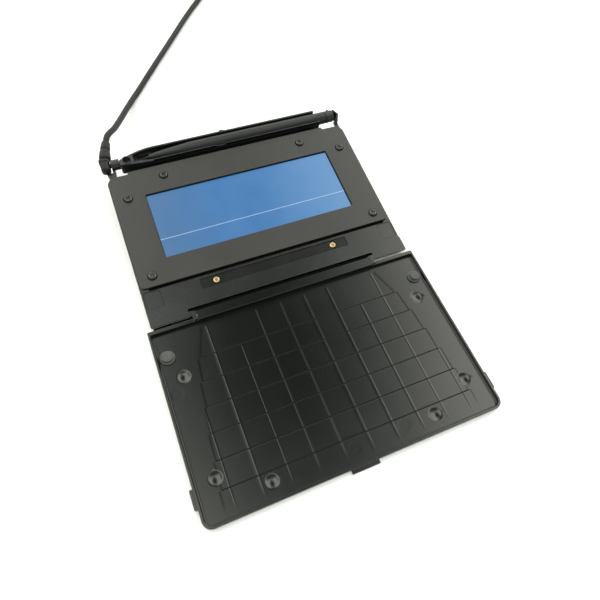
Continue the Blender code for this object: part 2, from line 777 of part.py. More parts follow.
def screw_places():
    """The six face screws: X, and distance from the hinge axis."""
    return (
        pair(SCREW_SIDE_SPREAD, SCREW_FRONT_FROM_AXIS)
        + pair(SCREW_SIDE_SPREAD, SCREW_MID_FROM_AXIS)
        + pair(SCREW_REAR_SPREAD, SCREW_REAR_FROM_AXIS)
    )


def on_cover(places):
    """The same places on the open cover, which lies on the near side of the axis."""
    return [(x, -from_axis) for x, from_axis in places]


def screw_profile(head_radius, head_height, head_edge, shank_radius, length, seat=0.0):
    """A screw's outline from the top of its head down to the end of its shank."""
    top = seat + head_height
    return (
        (0.0, top),
        (head_radius - head_edge, top),
        (head_radius, top - head_edge),
        (head_radius, seat),
        (shank_radius, seat),
        (shank_radius, seat - length),
        (0.0, seat - length),
    )


# Cover

def grid_half_width(from_axis):
    """Half the width of the ribbed panel, which flares towards the free edge."""
    share = max(from_axis - GRID_START, 0.0) / (GRID_END - GRID_START)
    flare = GRID_FREE_HALF_WIDTH - GRID_HINGE_HALF_WIDTH
    return GRID_HINGE_HALF_WIDTH + flare * share ** GRID_FLARE_SHARE


def grid_rows():
    """Near and far edge of each row of cells, from the hinge axis."""
    edges = [GRID_START, GRID_START + FIRST_ROW_LENGTH]
    while edges[-1] + ROW_PITCH < GRID_END:
        edges.append(edges[-1] + ROW_PITCH)
    edges.append(GRID_END)
    return [
        (start + CROSS_RIB_WIDTH / 2, stop - CROSS_RIB_WIDTH / 2)
        for start, stop in zip(edges, edges[1:])
        if stop - start > 2 * CROSS_RIB_WIDTH
    ]


def grid_columns():
    """Left and right edge of each column of cells, out to the panel's widest part."""
    room = GRID_FREE_HALF_WIDTH - LENGTH_RIB_WIDTH
    half = [(i + 1 / 2) * COLUMN_PITCH for i in range(math.ceil(room / COLUMN_PITCH))]
    ribs = sorted(x for far in half if far < room for x in (-far, far))
    edges = [-GRID_FREE_HALF_WIDTH, *ribs, GRID_FREE_HALF_WIDTH]
    return [
        (left + LENGTH_RIB_WIDTH / 2, right - LENGTH_RIB_WIDTH / 2)
        for left, right in zip(edges, edges[1:])
    ]


def grid_cells():
    """A shallow prism for each cell between the ribs, clipped to the flared panel."""
    cells = []
    for start, stop in grid_rows():
        near = grid_half_width(start)
        far = grid_half_width(stop)
        for left, right in grid_columns():
            corners = [
                (max(left, -far), -stop), (min(right, far), -stop),
                (min(right, near), -start), (max(left, -near), -start),
            ]
            far_width = corners[1][0] - corners[0][0]
            near_width = corners[2][0] - corners[3][0]
            if min(near_width, far_width) > LENGTH_RIB_WIDTH:
                cells.append(slab(corners, COVER_FLOOR - GRID_DEPTH, COVER_FLOOR + OVERRUN))
    return cells


def dimple():
    """A round hollow with sloping sides that clears a face screw when the cover is shut."""
    spread = (DIMPLE_RADIUS - DIMPLE_FLOOR_RADIUS) / DIMPLE_DEPTH
    return upright_rod((0.0, 0.0), DIMPLE_FLOOR_RADIUS, COVER_FLOOR - DIMPLE_DEPTH,
                       COVER_FLOOR + OVERRUN, SMALL_SIDES,
                       DIMPLE_RADIUS + spread * OVERRUN)


def ear_span(extra=0.0):
    inside = BARREL_LENGTH / 2 + FIT_GAP
    return (inside - extra, inside + EAR_THICKNESS + extra)


def build_cover_shell():
    outline = rounded(half_span(COVER_WIDTH), (-COVER_REACH, -HINGE_EDGE),
                      COVER_FREE_CORNER, COVER_HINGE_CORNER)
    shell = place("cover_shell", slab(outline, COVER_BOTTOM, RIM_ABOVE_AXIS),
                  cover_frame, COVER_BLACK)
    soften(shell, COVER_EDGE, 1)
    latch_tab = box(
        half_span(LATCH_TAB_WIDTH),
        (-COVER_REACH - LATCH_TAB_LENGTH, -COVER_REACH + COVER_FREE_CORNER),
        (COVER_BOTTOM, COVER_BOTTOM + LATCH_TAB_HEIGHT),
    )
    side_tabs_near = -COVER_REACH + SIDE_TAB_FROM_FREE_EDGE
    side_tabs = box(
        half_span(COVER_WIDTH, SIDE_TAB_REACH),
        (side_tabs_near, side_tabs_near + SIDE_TAB_LENGTH),
        (COVER_BOTTOM, COVER_BOTTOM + SIDE_TAB_HEIGHT),
    )
    barrel = cross_rod(half_span(BARREL_LENGTH), 0.0, 0.0, BARREL_RADIUS)
    add(shell, latch_tab, side_tabs, barrel)
    tray = rounded(
        half_span(COVER_WIDTH, -COVER_SIDE_RIM),
        (-COVER_REACH + COVER_FREE_RIM, -HINGE_EDGE - COVER_HINGE_RIM),
        COVER_FREE_CORNER - COVER_FREE_RIM, COVER_HINGE_CORNER,
    )
    cut(shell, slab(tray, COVER_FLOOR, RIM_ABOVE_AXIS + OVERRUN))
    cut(shell, *grid_cells())
    cut(shell, copies(dimple(), on_cover(screw_places())))
    seat = upright_rod((0.0, 0.0), BUMPER_STEM_RADIUS + FIT_GAP,
                       COVER_FLOOR - BUMPER_STEM_LENGTH - FIT_GAP, COVER_FLOOR + OVERRUN,
                       SMALL_SIDES)
    ear_room = box(
        ear_span(FIT_GAP), (-EAR_RADIUS - EAR_ROOM, OVERRUN),
        (COVER_BOTTOM - OVERRUN, RIM_ABOVE_AXIS + OVERRUN),
    )
    cut(shell, copies(seat, on_cover(pair(BUMPER_SPREAD, BUMPER_FROM_AXIS))),
        both_sides(ear_room))
    cut(shell, cross_rod(half_span(BARREL_LENGTH, OVERRUN), 0.0, 0.0,
                         PIN_RADIUS + FIT_GAP, SMALL_SIDES))


def build_cover_bumpers():
    seat = COVER_FLOOR + FIT_GAP
    top = RIM_ABOVE_AXIS + BUMPER_PROUD
    bumper = turned((
        (0.0, top),
        (BUMPER_RADIUS - BUMPER_EDGE, top),
        (BUMPER_RADIUS, top - BUMPER_EDGE),
        (BUMPER_RADIUS, seat + BUMPER_FLANGE_HEIGHT),
        (BUMPER_FLANGE_RADIUS, seat + BUMPER_FLANGE_HEIGHT),
        (BUMPER_FLANGE_RADIUS, seat),
        (BUMPER_STEM_RADIUS, seat),
        (BUMPER_STEM_RADIUS, COVER_FLOOR - BUMPER_STEM_LENGTH),
        (0.0, COVER_FLOOR - BUMPER_STEM_LENGTH),
    ), SMALL_SIDES)
    places = on_cover(pair(BUMPER_SPREAD, BUMPER_FROM_AXIS))
    place_copies("cover_bumper", bumper, places, cover_frame, RUBBER_BLACK)


# Pad housing

def board_hole_places():
    spread = BOARD_WIDTH - 2 * BOARD_HOLE_INSET
    return (
        pair(spread, BOARD_START + BOARD_HOLE_INSET)
        + pair(spread, BOARD_END - BOARD_HOLE_INSET)
    )


def post_places():
    return (
        pair(POST_SPREAD, SCREEN_START + POST_FROM_SCREEN_EDGE)
        + pair(POST_SPREAD, SCREEN_END - POST_FROM_SCREEN_EDGE)
    )


def standing_rods(places, radius, top):
    """Rods that stand in the housing's floor, up to one level."""
    return [
        upright_rod(spot, radius, base_floor(spot[1]) - BOSS_SINK, top, SMALL_SIDES)
        for spot in places
    ]


def tray_screw_rods(radius, y_span, sides=SMALL_SIDES):
    return [
        deep_rod(x, y_span, TRAY_SCREW_LEVEL, radius, sides)
        for x in (-TRAY_SCREW_SPACING, 0.0, TRAY_SCREW_SPACING)
    ]


def build_housing_base():
    outline = rounded(half_span(PAD_WIDTH), (BASE_START, PAD_REACH),
                      PAD_FRONT_CORNER, PAD_REAR_CORNER)
    base = place("housing_base", wedge(outline, base_underside, BASE_TOP),
                 pad_frame, HOUSING_GREY)
    hollow = rounded(half_span(PAD_WIDTH, -BASE_WALL),
                     (BASE_START + BASE_FRONT_WALL, PAD_INSIDE_REAR),
                     PAD_FRONT_CORNER, PAD_REAR_CORNER - BASE_WALL)
    cut(base, wedge(hollow, base_floor, BASE_TOP + OVERRUN))
    add(base,
        *standing_rods(screw_places(), BOSS_RADIUS, BASE_TOP),
        *standing_rods(post_places(), POST_RADIUS, SENSOR_BOTTOM - FIT_GAP),
        *standing_rods(board_hole_places(), STANDOFF_RADIUS, BOARD_BOTTOM - FIT_GAP),
        *tray_screw_rods(TRAY_BOSS_RADIUS, (TRAY_SCREW_END, PAD_INSIDE_REAR + BOSS_SINK)))
    screw_hole = upright_rod((0.0, 0.0), SCREW_SHANK_RADIUS + FIT_GAP,
                             SCREW_END - FIT_GAP, BASE_TOP + OVERRUN, SMALL_SIDES)
    board_hole = upright_rod((0.0, 0.0), BOARD_SCREW_SHANK_RADIUS + FIT_GAP,
                             BOARD_SCREW_END - FIT_GAP, BOARD_BOTTOM, SMALL_SIDES)
    lead_hole = deep_rod(-LEAD_FROM_MIDDLE,
                         (PAD_INSIDE_REAR - OVERRUN, PAD_REACH + OVERRUN),
                         LEAD_LEVEL, LEAD_RADIUS + FIT_GAP, SMALL_SIDES)
    cut(base,
        copies(screw_hole, screw_places()),
        copies(board_hole, board_hole_places()),
        lead_hole,
        *tray_screw_rods(SCREW_SHANK_RADIUS + FIT_GAP,
                         (TRAY_SCREW_END - OVERRUN, PAD_REACH + OVERRUN)))


def build_rubber_feet():
    top = FOOT_HEIGHT - FIT_GAP
    foot = turned((
        (0.0, top), (FOOT_RADIUS, top), (FOOT_RADIUS, FOOT_EDGE),
        (FOOT_RADIUS - FOOT_EDGE, 0.0), (0.0, 0.0),
    ))
    places = []
    for from_axis in (BASE_START + FOOT_FROM_END, PAD_REACH - FOOT_FROM_END):
        y = (AXIS_Y + from_axis * math.cos(PAD_TILT)
             - base_underside(from_axis) * math.sin(PAD_TILT))
        places += pair(PAD_WIDTH - 2 * FOOT_FROM_SIDE, y)
    place_copies("rubber_foot", foot, places, table_frame, RUBBER_BLACK)


def stop_outline():
    """Plan of the upright wall that closes the tray's right end."""
    outside = STOP_FROM_MIDDLE
    points = [
        (outside, STOP_RISE_FROM_AXIS),
        (outside + STOP_ELBOW_OUT, STOP_ELBOW_FROM_AXIS),
        (outside + STOP_END_OUT, STOP_END_FROM_AXIS),
    ]
    return points + [(x - STOP_THICKNESS, y) for x, y in reversed(points)]


def screen_outline(margin, corner=SCREEN_CORNER):
    return rounded(half_span(SCREEN_WIDTH, margin),
                   (SCREEN_START - margin, SCREEN_END + margin), corner)


def channel_outline(gap=0.0):
    return rounded(half_span(CHANNEL_WIDTH, -gap), (CHANNEL_START + gap, CHANNEL_END - gap),
                   CHANNEL_CORNER)


def stud_places():
    return pair(STUD_SPREAD, (CHANNEL_START + CHANNEL_END) / 2)


def build_top_frame():
    outline = rounded(half_span(PAD_WIDTH), (HINGE_EDGE, PAD_REACH),
                      PAD_FRONT_CORNER, PAD_REAR_CORNER)
    frame = place("top_frame", slab(outline, FRAME_BOTTOM, STRIP_TOP), pad_frame,
                  HOUSING_GREY)
    soften(frame, TOP_FRAME_EDGE, 1)
    notch = ear_span()[1]
    cut(frame, box((-notch, notch), (-OVERRUN, NOTCH_REACH),
                   (FRAME_BOTTOM - OVERRUN, STRIP_TOP + OVERRUN)))
    ear_arm = box(ear_span(), (0.0, NOTCH_REACH + OVERRUN), (FRAME_BOTTOM, STRIP_TOP))
    add(frame, both_sides(ear_arm))
    add(frame, both_sides(cross_rod(ear_span(), 0.0, 0.0, EAR_RADIUS)))
    cheek = box((ear_span()[1] - OVERRUN, ear_span()[1] + OVERRUN),
                (HINGE_EDGE + OVERRUN, NOTCH_REACH + OVERRUN), (FRAME_BOTTOM, STRIP_TOP))
    ledge = box(
        (PAD_WIDTH / 2 - OVERRUN, PAD_WIDTH / 2 + END_LEDGE_WIDTH),
        (END_LEDGE_START, END_LEDGE_REACH), (FRAME_BOTTOM, STRIP_TOP - TOP_FRAME_EDGE),
    )
    stop_arm = box(
        (STOP_FROM_MIDDLE - STOP_ARM_WIDTH, STOP_FROM_MIDDLE),
        (PAD_REACH - PAD_REAR_CORNER, STOP_RISE_FROM_AXIS + STOP_THICKNESS),
        (FRAME_BOTTOM, STRIP_TOP),
    )
    add(frame, both_sides(cheek), ledge, stop_arm)
    add(frame, slab(stop_outline(), FRAME_BOTTOM, STOP_TOP))
    ear_end = ear_span(OVERRUN)[1]
    pin_hole = cross_rod((-ear_end, ear_end), 0.0, 0.0, PIN_RADIUS + FIT_GAP, SMALL_SIDES)
    window = slab(screen_outline(WINDOW_MARGIN + FIT_GAP), FRAME_BOTTOM - OVERRUN,
                  STRIP_TOP + OVERRUN)
    seam = slab(
        rounded(half_span(PAD_WIDTH, -SEAM_FROM_SIDE), (FACE_START - SEAM_WIDTH, FACE_START),
                SEAM_CORNER),
        STRIP_TOP - SEAM_DEPTH, STRIP_TOP + OVERRUN,
    )
    rest_right = PAD_WIDTH / 2 - REST_FROM_SIDE
    rest = slab(
        rounded((rest_right - REST_WIDTH, rest_right), (REST_START, REST_START + REST_LENGTH),
                REST_CORNER),
        STRIP_TOP - REST_DEPTH, STRIP_TOP + OVERRUN,
    )
    screw_hole = upright_rod((0.0, 0.0), SCREW_SHANK_RADIUS + FIT_GAP,
                             FRAME_BOTTOM - OVERRUN, STRIP_TOP + OVERRUN, SMALL_SIDES)
    channel = slab(channel_outline(), CHANNEL_FLOOR, STRIP_TOP + OVERRUN)
    cut(frame, pin_hole, window, seam, channel, copies(screw_hole, screw_places()))
    cut(frame, both_sides(rest))
    stud_hole = upright_rod((0.0, 0.0), STUD_RADIUS + FIT_GAP, FRAME_BOTTOM - OVERRUN,
                            STRIP_TOP + OVERRUN, SMALL_SIDES)
    cut(frame, copies(stud_hole, stud_places()))


def build_face_plate():
    outline = rounded(half_span(PAD_WIDTH, -FACE_SIDE_SET), (FACE_START, PAD_REACH),
                      FACE_FRONT_CORNER, FACE_REAR_CORNER)
    plate = place("face_plate", slab(outline, FACE_BOTTOM, FACE_TOP), pad_frame, FACE_GREY)
    soften(plate, FACE_EDGE)
    window = slab(screen_outline(0.0), FACE_BOTTOM - OVERRUN, FACE_TOP + OVERRUN)
    screw_hole = upright_rod((0.0, 0.0), SCREW_SHANK_RADIUS + FIT_GAP,
                             FACE_BOTTOM - OVERRUN, FACE_TOP + OVERRUN, SMALL_SIDES)
    cut(plate, window, copies(screw_hole, screw_places()))


def build_face_screws():
    screw = turned(screw_profile(SCREW_HEAD_RADIUS, SCREW_HEAD_HEIGHT, SCREW_HEAD_EDGE,
                                 SCREW_SHANK_RADIUS, SCREW_LENGTH, SCREW_SEAT), SMALL_SIDES)
    head_top = SCREW_SEAT + SCREW_HEAD_HEIGHT
    for piece in place_copies("face_screw", screw, screw_places(), pad_frame, DARK_STEEL):
        depth = (head_top - SCREW_SLOT_DEPTH, head_top + OVERRUN)
        cut(piece, box(half_span(SCREW_SLOT_WIDTH), half_span(SCREW_SLOT_LENGTH), depth))
        cut(piece, box(half_span(SCREW_SLOT_LENGTH), half_span(SCREW_SLOT_WIDTH), depth))


def build_channel_fittings():
    inlay = place(
        "channel_inlay",
        slab(channel_outline(FIT_GAP), CHANNEL_FLOOR + FIT_GAP, INLAY_TOP),
        pad_frame, INLAY_BLACK,
    )
    stud_hole = upright_rod((0.0, 0.0), STUD_RADIUS + FIT_GAP, CHANNEL_FLOOR,
                            INLAY_TOP + OVERRUN, SMALL_SIDES)
    cut(inlay, copies(stud_hole, stud_places()))
    stud_top = STRIP_TOP - STUD_BELOW_STRIP
    stud = upright_rod((0.0, 0.0), STUD_RADIUS, stud_top - STUD_LENGTH, stud_top)
    place_copies("brass_stud", stud, stud_places(), pad_frame, STUD_BRASS)


def build_hinge_pin():
    end = ear_span()[1]
    place("hinge_pin", cross_rod((-end, end), 0.0, 0.0, PIN_RADIUS, SMALL_SIDES),
          pad_frame, BRIGHT_STEEL)


# Screen stack and electronics

def build_screen_stack():
    glass = screen_outline(WINDOW_MARGIN)
    place("screen_window", slab(glass, WINDOW_TOP - WINDOW_THICKNESS, WINDOW_TOP),
          pad_frame, SCREEN_BLUE)
    place("lcd_cell", slab(glass, CELL_TOP - CELL_THICKNESS, CELL_TOP), pad_frame, CELL_GREY)
    place("lcd_backlight", slab(glass, BACKLIGHT_TOP - BACKLIGHT_THICKNESS, BACKLIGHT_TOP),
          pad_frame, LIGHT_GUIDE_WHITE)
    place("digitizer_board", slab(screen_outline(SENSOR_MARGIN), SENSOR_BOTTOM, SENSOR_TOP),
          pad_frame, BOARD_GREEN)


def header_spans():
    right = -HEADER_FROM_MIDDLE + HEADER_WIDTH / 2
    end = BOARD_END - HEADER_FROM_BOARD_END
    bottom = BOARD_TOP + FIT_GAP
    return (
        (right - HEADER_WIDTH, right), (end - HEADER_LENGTH, end),
        (bottom, bottom + HEADER_HEIGHT),
    )


def build_main_board():
    board = place("main_board", box(half_span(BOARD_WIDTH), (BOARD_START, BOARD_END),
                                    (BOARD_BOTTOM, BOARD_TOP)), pad_frame, BOARD_GREEN)
    chip_y = BOARD_START + CHIP_FROM_BOARD_START
    chip = box(half_span(CHIP_SIZE), (chip_y, chip_y + CHIP_SIZE),
               (BOARD_TOP - BOARD_THICKNESS / 2, BOARD_TOP + CHIP_HEIGHT))
    add(board, copies(chip, [(-CHIP_SPACING, 0.0), (0.0, 0.0), (CHIP_SPACING, 0.0)]))
    hole = upright_rod((0.0, 0.0), BOARD_SCREW_SHANK_RADIUS + FIT_GAP,
                       BOARD_BOTTOM - OVERRUN, BOARD_TOP + OVERRUN, SMALL_SIDES)
    cut(board, copies(hole, board_hole_places()))
    screw = turned(screw_profile(
        BOARD_SCREW_HEAD_RADIUS, BOARD_SCREW_HEAD_HEIGHT, BOARD_SCREW_HEAD_HEIGHT / 2,
        BOARD_SCREW_SHANK_RADIUS, BOARD_SCREW_LENGTH, BOARD_SCREW_SEAT), SMALL_SIDES)
    place_copies("board_screw", screw, board_hole_places(), pad_frame, BRIGHT_STEEL)
    place("lead_header", box(*header_spans()), pad_frame, LIGHT_GUIDE_WHITE)


def build_lcd_ribbon():
    """A flat ribbon from the backlight's edge, round the sensor board, to the main board."""
    start = SCREEN_END + WINDOW_MARGIN + FIT_GAP
    level = BACKLIGHT_TOP - BACKLIGHT_THICKNESS / 2
    turn_y = SCREEN_END + SENSOR_MARGIN + RIBBON_LAP - FIT_GAP
    landing = BOARD_TOP + FIT_GAP + RIBBON_THICKNESS / 2
    profile = [
        (start, level),
        (turn_y - RIBBON_BEND, level),
        (turn_y, level - RIBBON_BEND),
        (turn_y, landing + RIBBON_BEND),
        (turn_y - RIBBON_BEND, landing),
        (turn_y - RIBBON_LAP, landing),
    ]
    sides = half_span(RIBBON_WIDTH)
    points = [(x, y, z) for y, z in profile for x in sides]
    faces = [(i, i + 1, i + 3, i + 2) for i in range(0, len(points) - 2, 2)]
    mesh = bpy.data.meshes.new("ribbon")
    mesh.from_pydata(points, [], faces)
    guide = bpy.data.objects.new("ribbon", mesh)
    solidify = guide.modifiers.new("thickness", "SOLIDIFY")
    solidify.thickness = RIBBON_THICKNESS
    solidify.offset = 0.0
    place("lcd_ribbon", solid_of(guide), pad_frame, RIBBON_AMBER)
    bpy.data.meshes.remove(mesh)


def build_internal_lead():
    """The lead from the cable entry, through the arm and the rear wall, to the header."""
    left = -LEAD_FROM_MIDDLE
    header_x, header_y, header_z = header_spans()
    on_board = BOARD_TOP + FIT_GAP + LEAD_RADIUS
    lane = BOARD_END - LEAD_LANE_SET
    end = Vector((header_x[0] - FIT_GAP, sum(header_y) / 2, on_board))
    bend = end - Vector((2 * LEAD_TURN, 0.0, 0.0))
    route = [
        (left, ARM_END, LEAD_LEVEL),
        (left, PAD_REACH, LEAD_LEVEL),
        (left, PAD_INSIDE_REAR - LEAD_TURN / 2, LEAD_LEVEL),
        (left + LEAD_TURN, PAD_INSIDE_REAR - 2 * LEAD_TURN, (LEAD_LEVEL + on_board) / 2),
        (left + 3 * LEAD_TURN, lane, on_board),
        (bend.x - LEAD_TURN, lane, on_board),
        (bend.x, (lane + bend.y) / 2, on_board),
        bend + Vector((LEAD_TURN, 0.0, 0.0)),
        end,
    ]
    path = smooth_path(route, LEAD_SPACING)
    place("internal_lead", tube(path, LEAD_RADIUS), pad_frame, CABLE_GREY)


# Pen tray and stylus

def tray_outline():
    """Plan of the tray: straight walls, drawn in towards the nose at its left end."""
    near = []
    far = []
    for step in range(TRAY_TAPER_STEPS + 1):
        share = step / TRAY_TAPER_STEPS
        x = -TRAY_LEFT + TRAY_TAPER * (1 - share)
        draw_in = share ** TRAY_NOSE_CURVE_SHARE
        near.append((x, TRAY_START + TRAY_NOSE_NEAR_SET * draw_in))
        far.append((x, TRAY_END - TRAY_NOSE_FAR_SET * draw_in))
    right = [(TRAY_RIGHT - TRAY_SLANT, TRAY_START), (TRAY_RIGHT, TRAY_END)]
    return right + far + near[::-1]


def build_pen_tray():
    tray = place("pen_tray", slab(tray_outline(), TRAY_BOTTOM, TRAY_TOP), pad_frame,
                 TRAY_BLACK)
    bump = upright_rod(
        (-TRAY_BUMP_FROM_MIDDLE, TRAY_END + TRAY_BUMP_REACH - TRAY_BUMP_RADIUS),
        TRAY_BUMP_RADIUS, TRAY_TOP - TRAY_BUMP_HEIGHT, TRAY_TOP,
    )
    web_x = (-TRAY_LEFT + TRAY_WEB_SIDE_SET, TRAY_RIGHT - TRAY_WEB_SIDE_SET)
    web = box(web_x, (FLANGE_START, TRAY_START + TRAY_WALL / 2),
              (TRAY_BOTTOM, TRAY_BOTTOM + TRAY_WEB_THICKNESS))
    add(tray, bump, web)
    add(tray, box(web_x, (FLANGE_START, FLANGE_END), (TRAY_FLANGE_BOTTOM, TRAY_FLANGE_TOP)))
    well = box(
        (-TRAY_DIVIDER, TRAY_RIGHT + OVERRUN),
        (TRAY_START + TRAY_WALL, TRAY_END - TRAY_WALL),
        (TRAY_WELL_FLOOR, TRAY_TOP + OVERRUN),
    )
    eye_y = (TRAY_START + TRAY_NOSE_NEAR_SET / 2 + TRAY_END - TRAY_NOSE_FAR_SET / 2) / 2
    eye = upright_rod((-TRAY_LEFT + TRAY_EYE_FROM_END, eye_y), TRAY_EYE_RADIUS,
                      TRAY_BOTTOM - OVERRUN, TRAY_TOP + OVERRUN)
    notch_middle = -TRAY_NOTCH_FROM_MIDDLE
    notch = box(
        (notch_middle - TRAY_NOTCH_WIDTH / 2, notch_middle + TRAY_NOTCH_WIDTH / 2),
        (TRAY_START - OVERRUN, TRAY_START + TRAY_WALL / 2),
        (TRAY_TOP - TRAY_NOTCH_DEPTH, TRAY_TOP + OVERRUN),
    )
    cut(tray, well, eye, notch,
        *tray_screw_rods(SCREW_SHANK_RADIUS + FIT_GAP,
                         (FLANGE_START - OVERRUN, FLANGE_END + OVERRUN)))


def build_tray_screws():
    screw = turned(screw_profile(SCREW_HEAD_RADIUS, SCREW_HEAD_HEIGHT, SCREW_HEAD_EDGE,
                                 SCREW_SHANK_RADIUS, TRAY_SCREW_LENGTH), SMALL_SIDES)
    turn = Matrix.Rotation(math.radians(-90.0), 4, "X")
    moved(screw, Matrix.Translation((0.0, TRAY_SCREW_SEAT, TRAY_SCREW_LEVEL)) @ turn)
    places = [(-TRAY_SCREW_SPACING, 0.0), (0.0, 0.0), (TRAY_SCREW_SPACING, 0.0)]
    place_copies("tray_screw", screw, places, pad_frame, DARK_STEEL)


def along_stylus(mesh):
    """Turn a solid made about Z so that its top points along +X."""
    return moved(mesh, Matrix.Rotation(math.radians(90.0), 4, "Y"))


def build_stylus():
    tip = -STYLUS_TIP_FROM_MIDDLE
    neck = tip + STYLUS_NIB_LENGTH
    cone = neck + STYLUS_NECK_LENGTH
    end = tip + STYLUS_LENGTH
    cap = end - STYLUS_CAP_LENGTH
    shank_hole = neck + STYLUS_NIB_SHANK + FIT_GAP
    spigot_end = cap - STYLUS_CAP_SPIGOT_LENGTH
    taper = []
    for step in range(STYLUS_CONE_STEPS + 1):
        share = 1 - step / STYLUS_CONE_STEPS
        growth = (STYLUS_RADIUS - STYLUS_NECK_RADIUS) * share ** STYLUS_CONE_CURVE_SHARE
        taper.append((STYLUS_NECK_RADIUS + growth, cone + STYLUS_CONE_LENGTH * share))
    barrel = turned((
        (0.0, spigot_end - FIT_GAP),
        (STYLUS_CAP_SPIGOT_RADIUS + FIT_GAP, spigot_end - FIT_GAP),
        (STYLUS_CAP_SPIGOT_RADIUS + FIT_GAP, cap - FIT_GAP),
        (STYLUS_RADIUS, cap - FIT_GAP),
        *taper,
        (STYLUS_NECK_RADIUS, neck + FIT_GAP),
        (STYLUS_NIB_RADIUS + FIT_GAP, neck + FIT_GAP),
        (STYLUS_NIB_RADIUS + FIT_GAP, shank_hole),
        (0.0, shank_hole),
    ))
    place("stylus_barrel", along_stylus(barrel), stylus_frame, STYLUS_GREY)
    nib = turned((
        (0.0, neck + STYLUS_NIB_SHANK),
        (STYLUS_NIB_RADIUS, neck + STYLUS_NIB_SHANK),
        (STYLUS_NIB_RADIUS, neck),
        (STYLUS_NIB_POINT_RADIUS, tip),
        (0.0, tip),
    ), SMALL_SIDES)
    place("stylus_nib", along_stylus(nib), stylus_frame, INLAY_BLACK)
    cap_end = turned((
        (0.0, end),
        (STYLUS_RADIUS - STYLUS_CAP_EDGE, end),
        (STYLUS_RADIUS, end - STYLUS_CAP_EDGE),
        (STYLUS_RADIUS, cap),
        (STYLUS_CAP_SPIGOT_RADIUS, cap),
        (STYLUS_CAP_SPIGOT_RADIUS, spigot_end),
        (0.0, spigot_end),
    ))
    place("stylus_cap", along_stylus(cap_end), stylus_frame, STYLUS_GREY)


# Cable entry

def build_cable_arm():
    outside = -ARM_OUTSIDE
    inside = outside + ARM_WIDTH
    finger = SOCKET_LEFT + ARM_FINGER_WIDTH
    finger_end = STYLUS_FROM_AXIS - SOCKET_RADIUS + ARM_FINGER_REACH
    outline = [
        (outside, FLANGE_START), (inside, FLANGE_START), (finger, finger_end),
        (SOCKET_LEFT, finger_end), (SOCKET_LEFT, ARM_END), (outside - ARM_LEAN, ARM_END),
    ]
    arm = place("cable_arm", slab(outline, ARM_BOTTOM, ARM_TOP), pad_frame, HOUSING_GREY)
    add(arm, cross_rod((SOCKET_LEFT, SOCKET_RIGHT), STYLUS_FROM_AXIS, STYLUS_ABOVE_AXIS,
                       SOCKET_RADIUS))
    add(arm, box((outside, inside), (FLANGE_START, FLANGE_START + ARM_FOOT_THICKNESS),
                 (ARM_FOOT_BOTTOM, ARM_TOP)))
    cut(arm,
        cross_rod((SOCKET_LEFT - OVERRUN, SOCKET_RIGHT + FIT_GAP / 2), STYLUS_FROM_AXIS,
                  STYLUS_ABOVE_AXIS, SOCKET_BORE, SMALL_SIDES),
        deep_rod(-LEAD_FROM_MIDDLE, (FLANGE_START - OVERRUN, ARM_END + OVERRUN),
                 LEAD_LEVEL, LEAD_RADIUS + FIT_GAP, SMALL_SIDES))


def build_cable_elbow():
    middle = STYLUS_ABOVE_AXIS
    elbow = place(
        "cable_elbow",
        box((ELBOW_RIGHT - ELBOW_WIDTH, ELBOW_RIGHT),
            (ELBOW_FRONT_FROM_AXIS, ELBOW_FRONT_FROM_AXIS + ELBOW_LENGTH),
            (middle - ELBOW_HEIGHT / 2, middle + ELBOW_HEIGHT / 2)),
        pad_frame, CABLE_GREY,
    )
    soften(elbow, ELBOW_EDGE)
    add(elbow, cross_rod((ELBOW_RIGHT - ELBOW_EDGE, ELBOW_RIGHT + SPIGOT_LENGTH),
                         STYLUS_FROM_AXIS, middle, SPIGOT_RADIUS, SMALL_SIDES))


def build_strain_relief():
    root = ELBOW_FRONT_FROM_AXIS + ELBOW_LENGTH + FIT_GAP
    path = []
    shares = []
    for step in range(RELIEF_STEPS + 1):
        along = step / RELIEF_STEPS
        path.append(Vector((
            RELIEF_ROOT_X + RELIEF_SIDESTEP * along ** RELIEF_CURVE_SHARE,
            root + RELIEF_LENGTH * along,
            STYLUS_ABOVE_AXIS,
        )))
        radius = RELIEF_ROOT_RADIUS + (RELIEF_END_RADIUS - RELIEF_ROOT_RADIUS) * along
        shares.append(radius / RELIEF_ROOT_RADIUS)
    place("strain_relief", tube(path, RELIEF_ROOT_RADIUS, radius_shares=shares), pad_frame,
          CABLE_GREY)


# Cable, coil, tie and plug

def coil_level(turn):
    """Height of the coil's middle line: one layer up in each half turn where it turns back."""
    turns_in_layer = COIL_TURNS / COIL_LAYERS
    level = COIL_UNDERSIDE + CABLE_RADIUS
    for layer in range(1, COIL_LAYERS):
        start = layer * turns_in_layer - COIL_CLIMB_TURNS / 2
        share = min(max((turn - start) / COIL_CLIMB_TURNS, 0.0), 1.0)
        level += COIL_LAYER_STEP * share
    return level


def coil_radius(turn):
    """The coil winds inwards in one layer and outwards in the next, at a steady rate."""
    turns_in_layer = COIL_TURNS / COIL_LAYERS
    layer = min(int(turn / turns_in_layer), COIL_LAYERS - 1)
    along = turn - layer * turns_in_layer
    inwards = along if layer % 2 == 0 else turns_in_layer - along
    return COIL_MIDDLE_RADIUS + COIL_PITCH * (turns_in_layer / 2 - inwards)


def coil_path():
    """The coil's points, with straight ends of one cable diameter."""
    path = []
    for step in range(round(COIL_TURNS * COIL_POINTS) + 1):
        turn = step / COIL_POINTS
        angle = math.radians(COIL_START_DEGREES) + math.tau * turn
        radius = coil_radius(turn)
        path.append(Vector((
            COIL_PLACE[0] + radius * math.cos(angle),
            COIL_PLACE[1] + radius * math.sin(angle),
            coil_level(turn),
        )))
    straight = 2 * CABLE_RADIUS
    first = (path[0] - path[1]).normalized() * straight
    last = (path[-1] - path[-2]).normalized() * straight
    first.z = 0.0
    last.z = 0.0
    return [path[0] + first, *path, path[-1] + last]


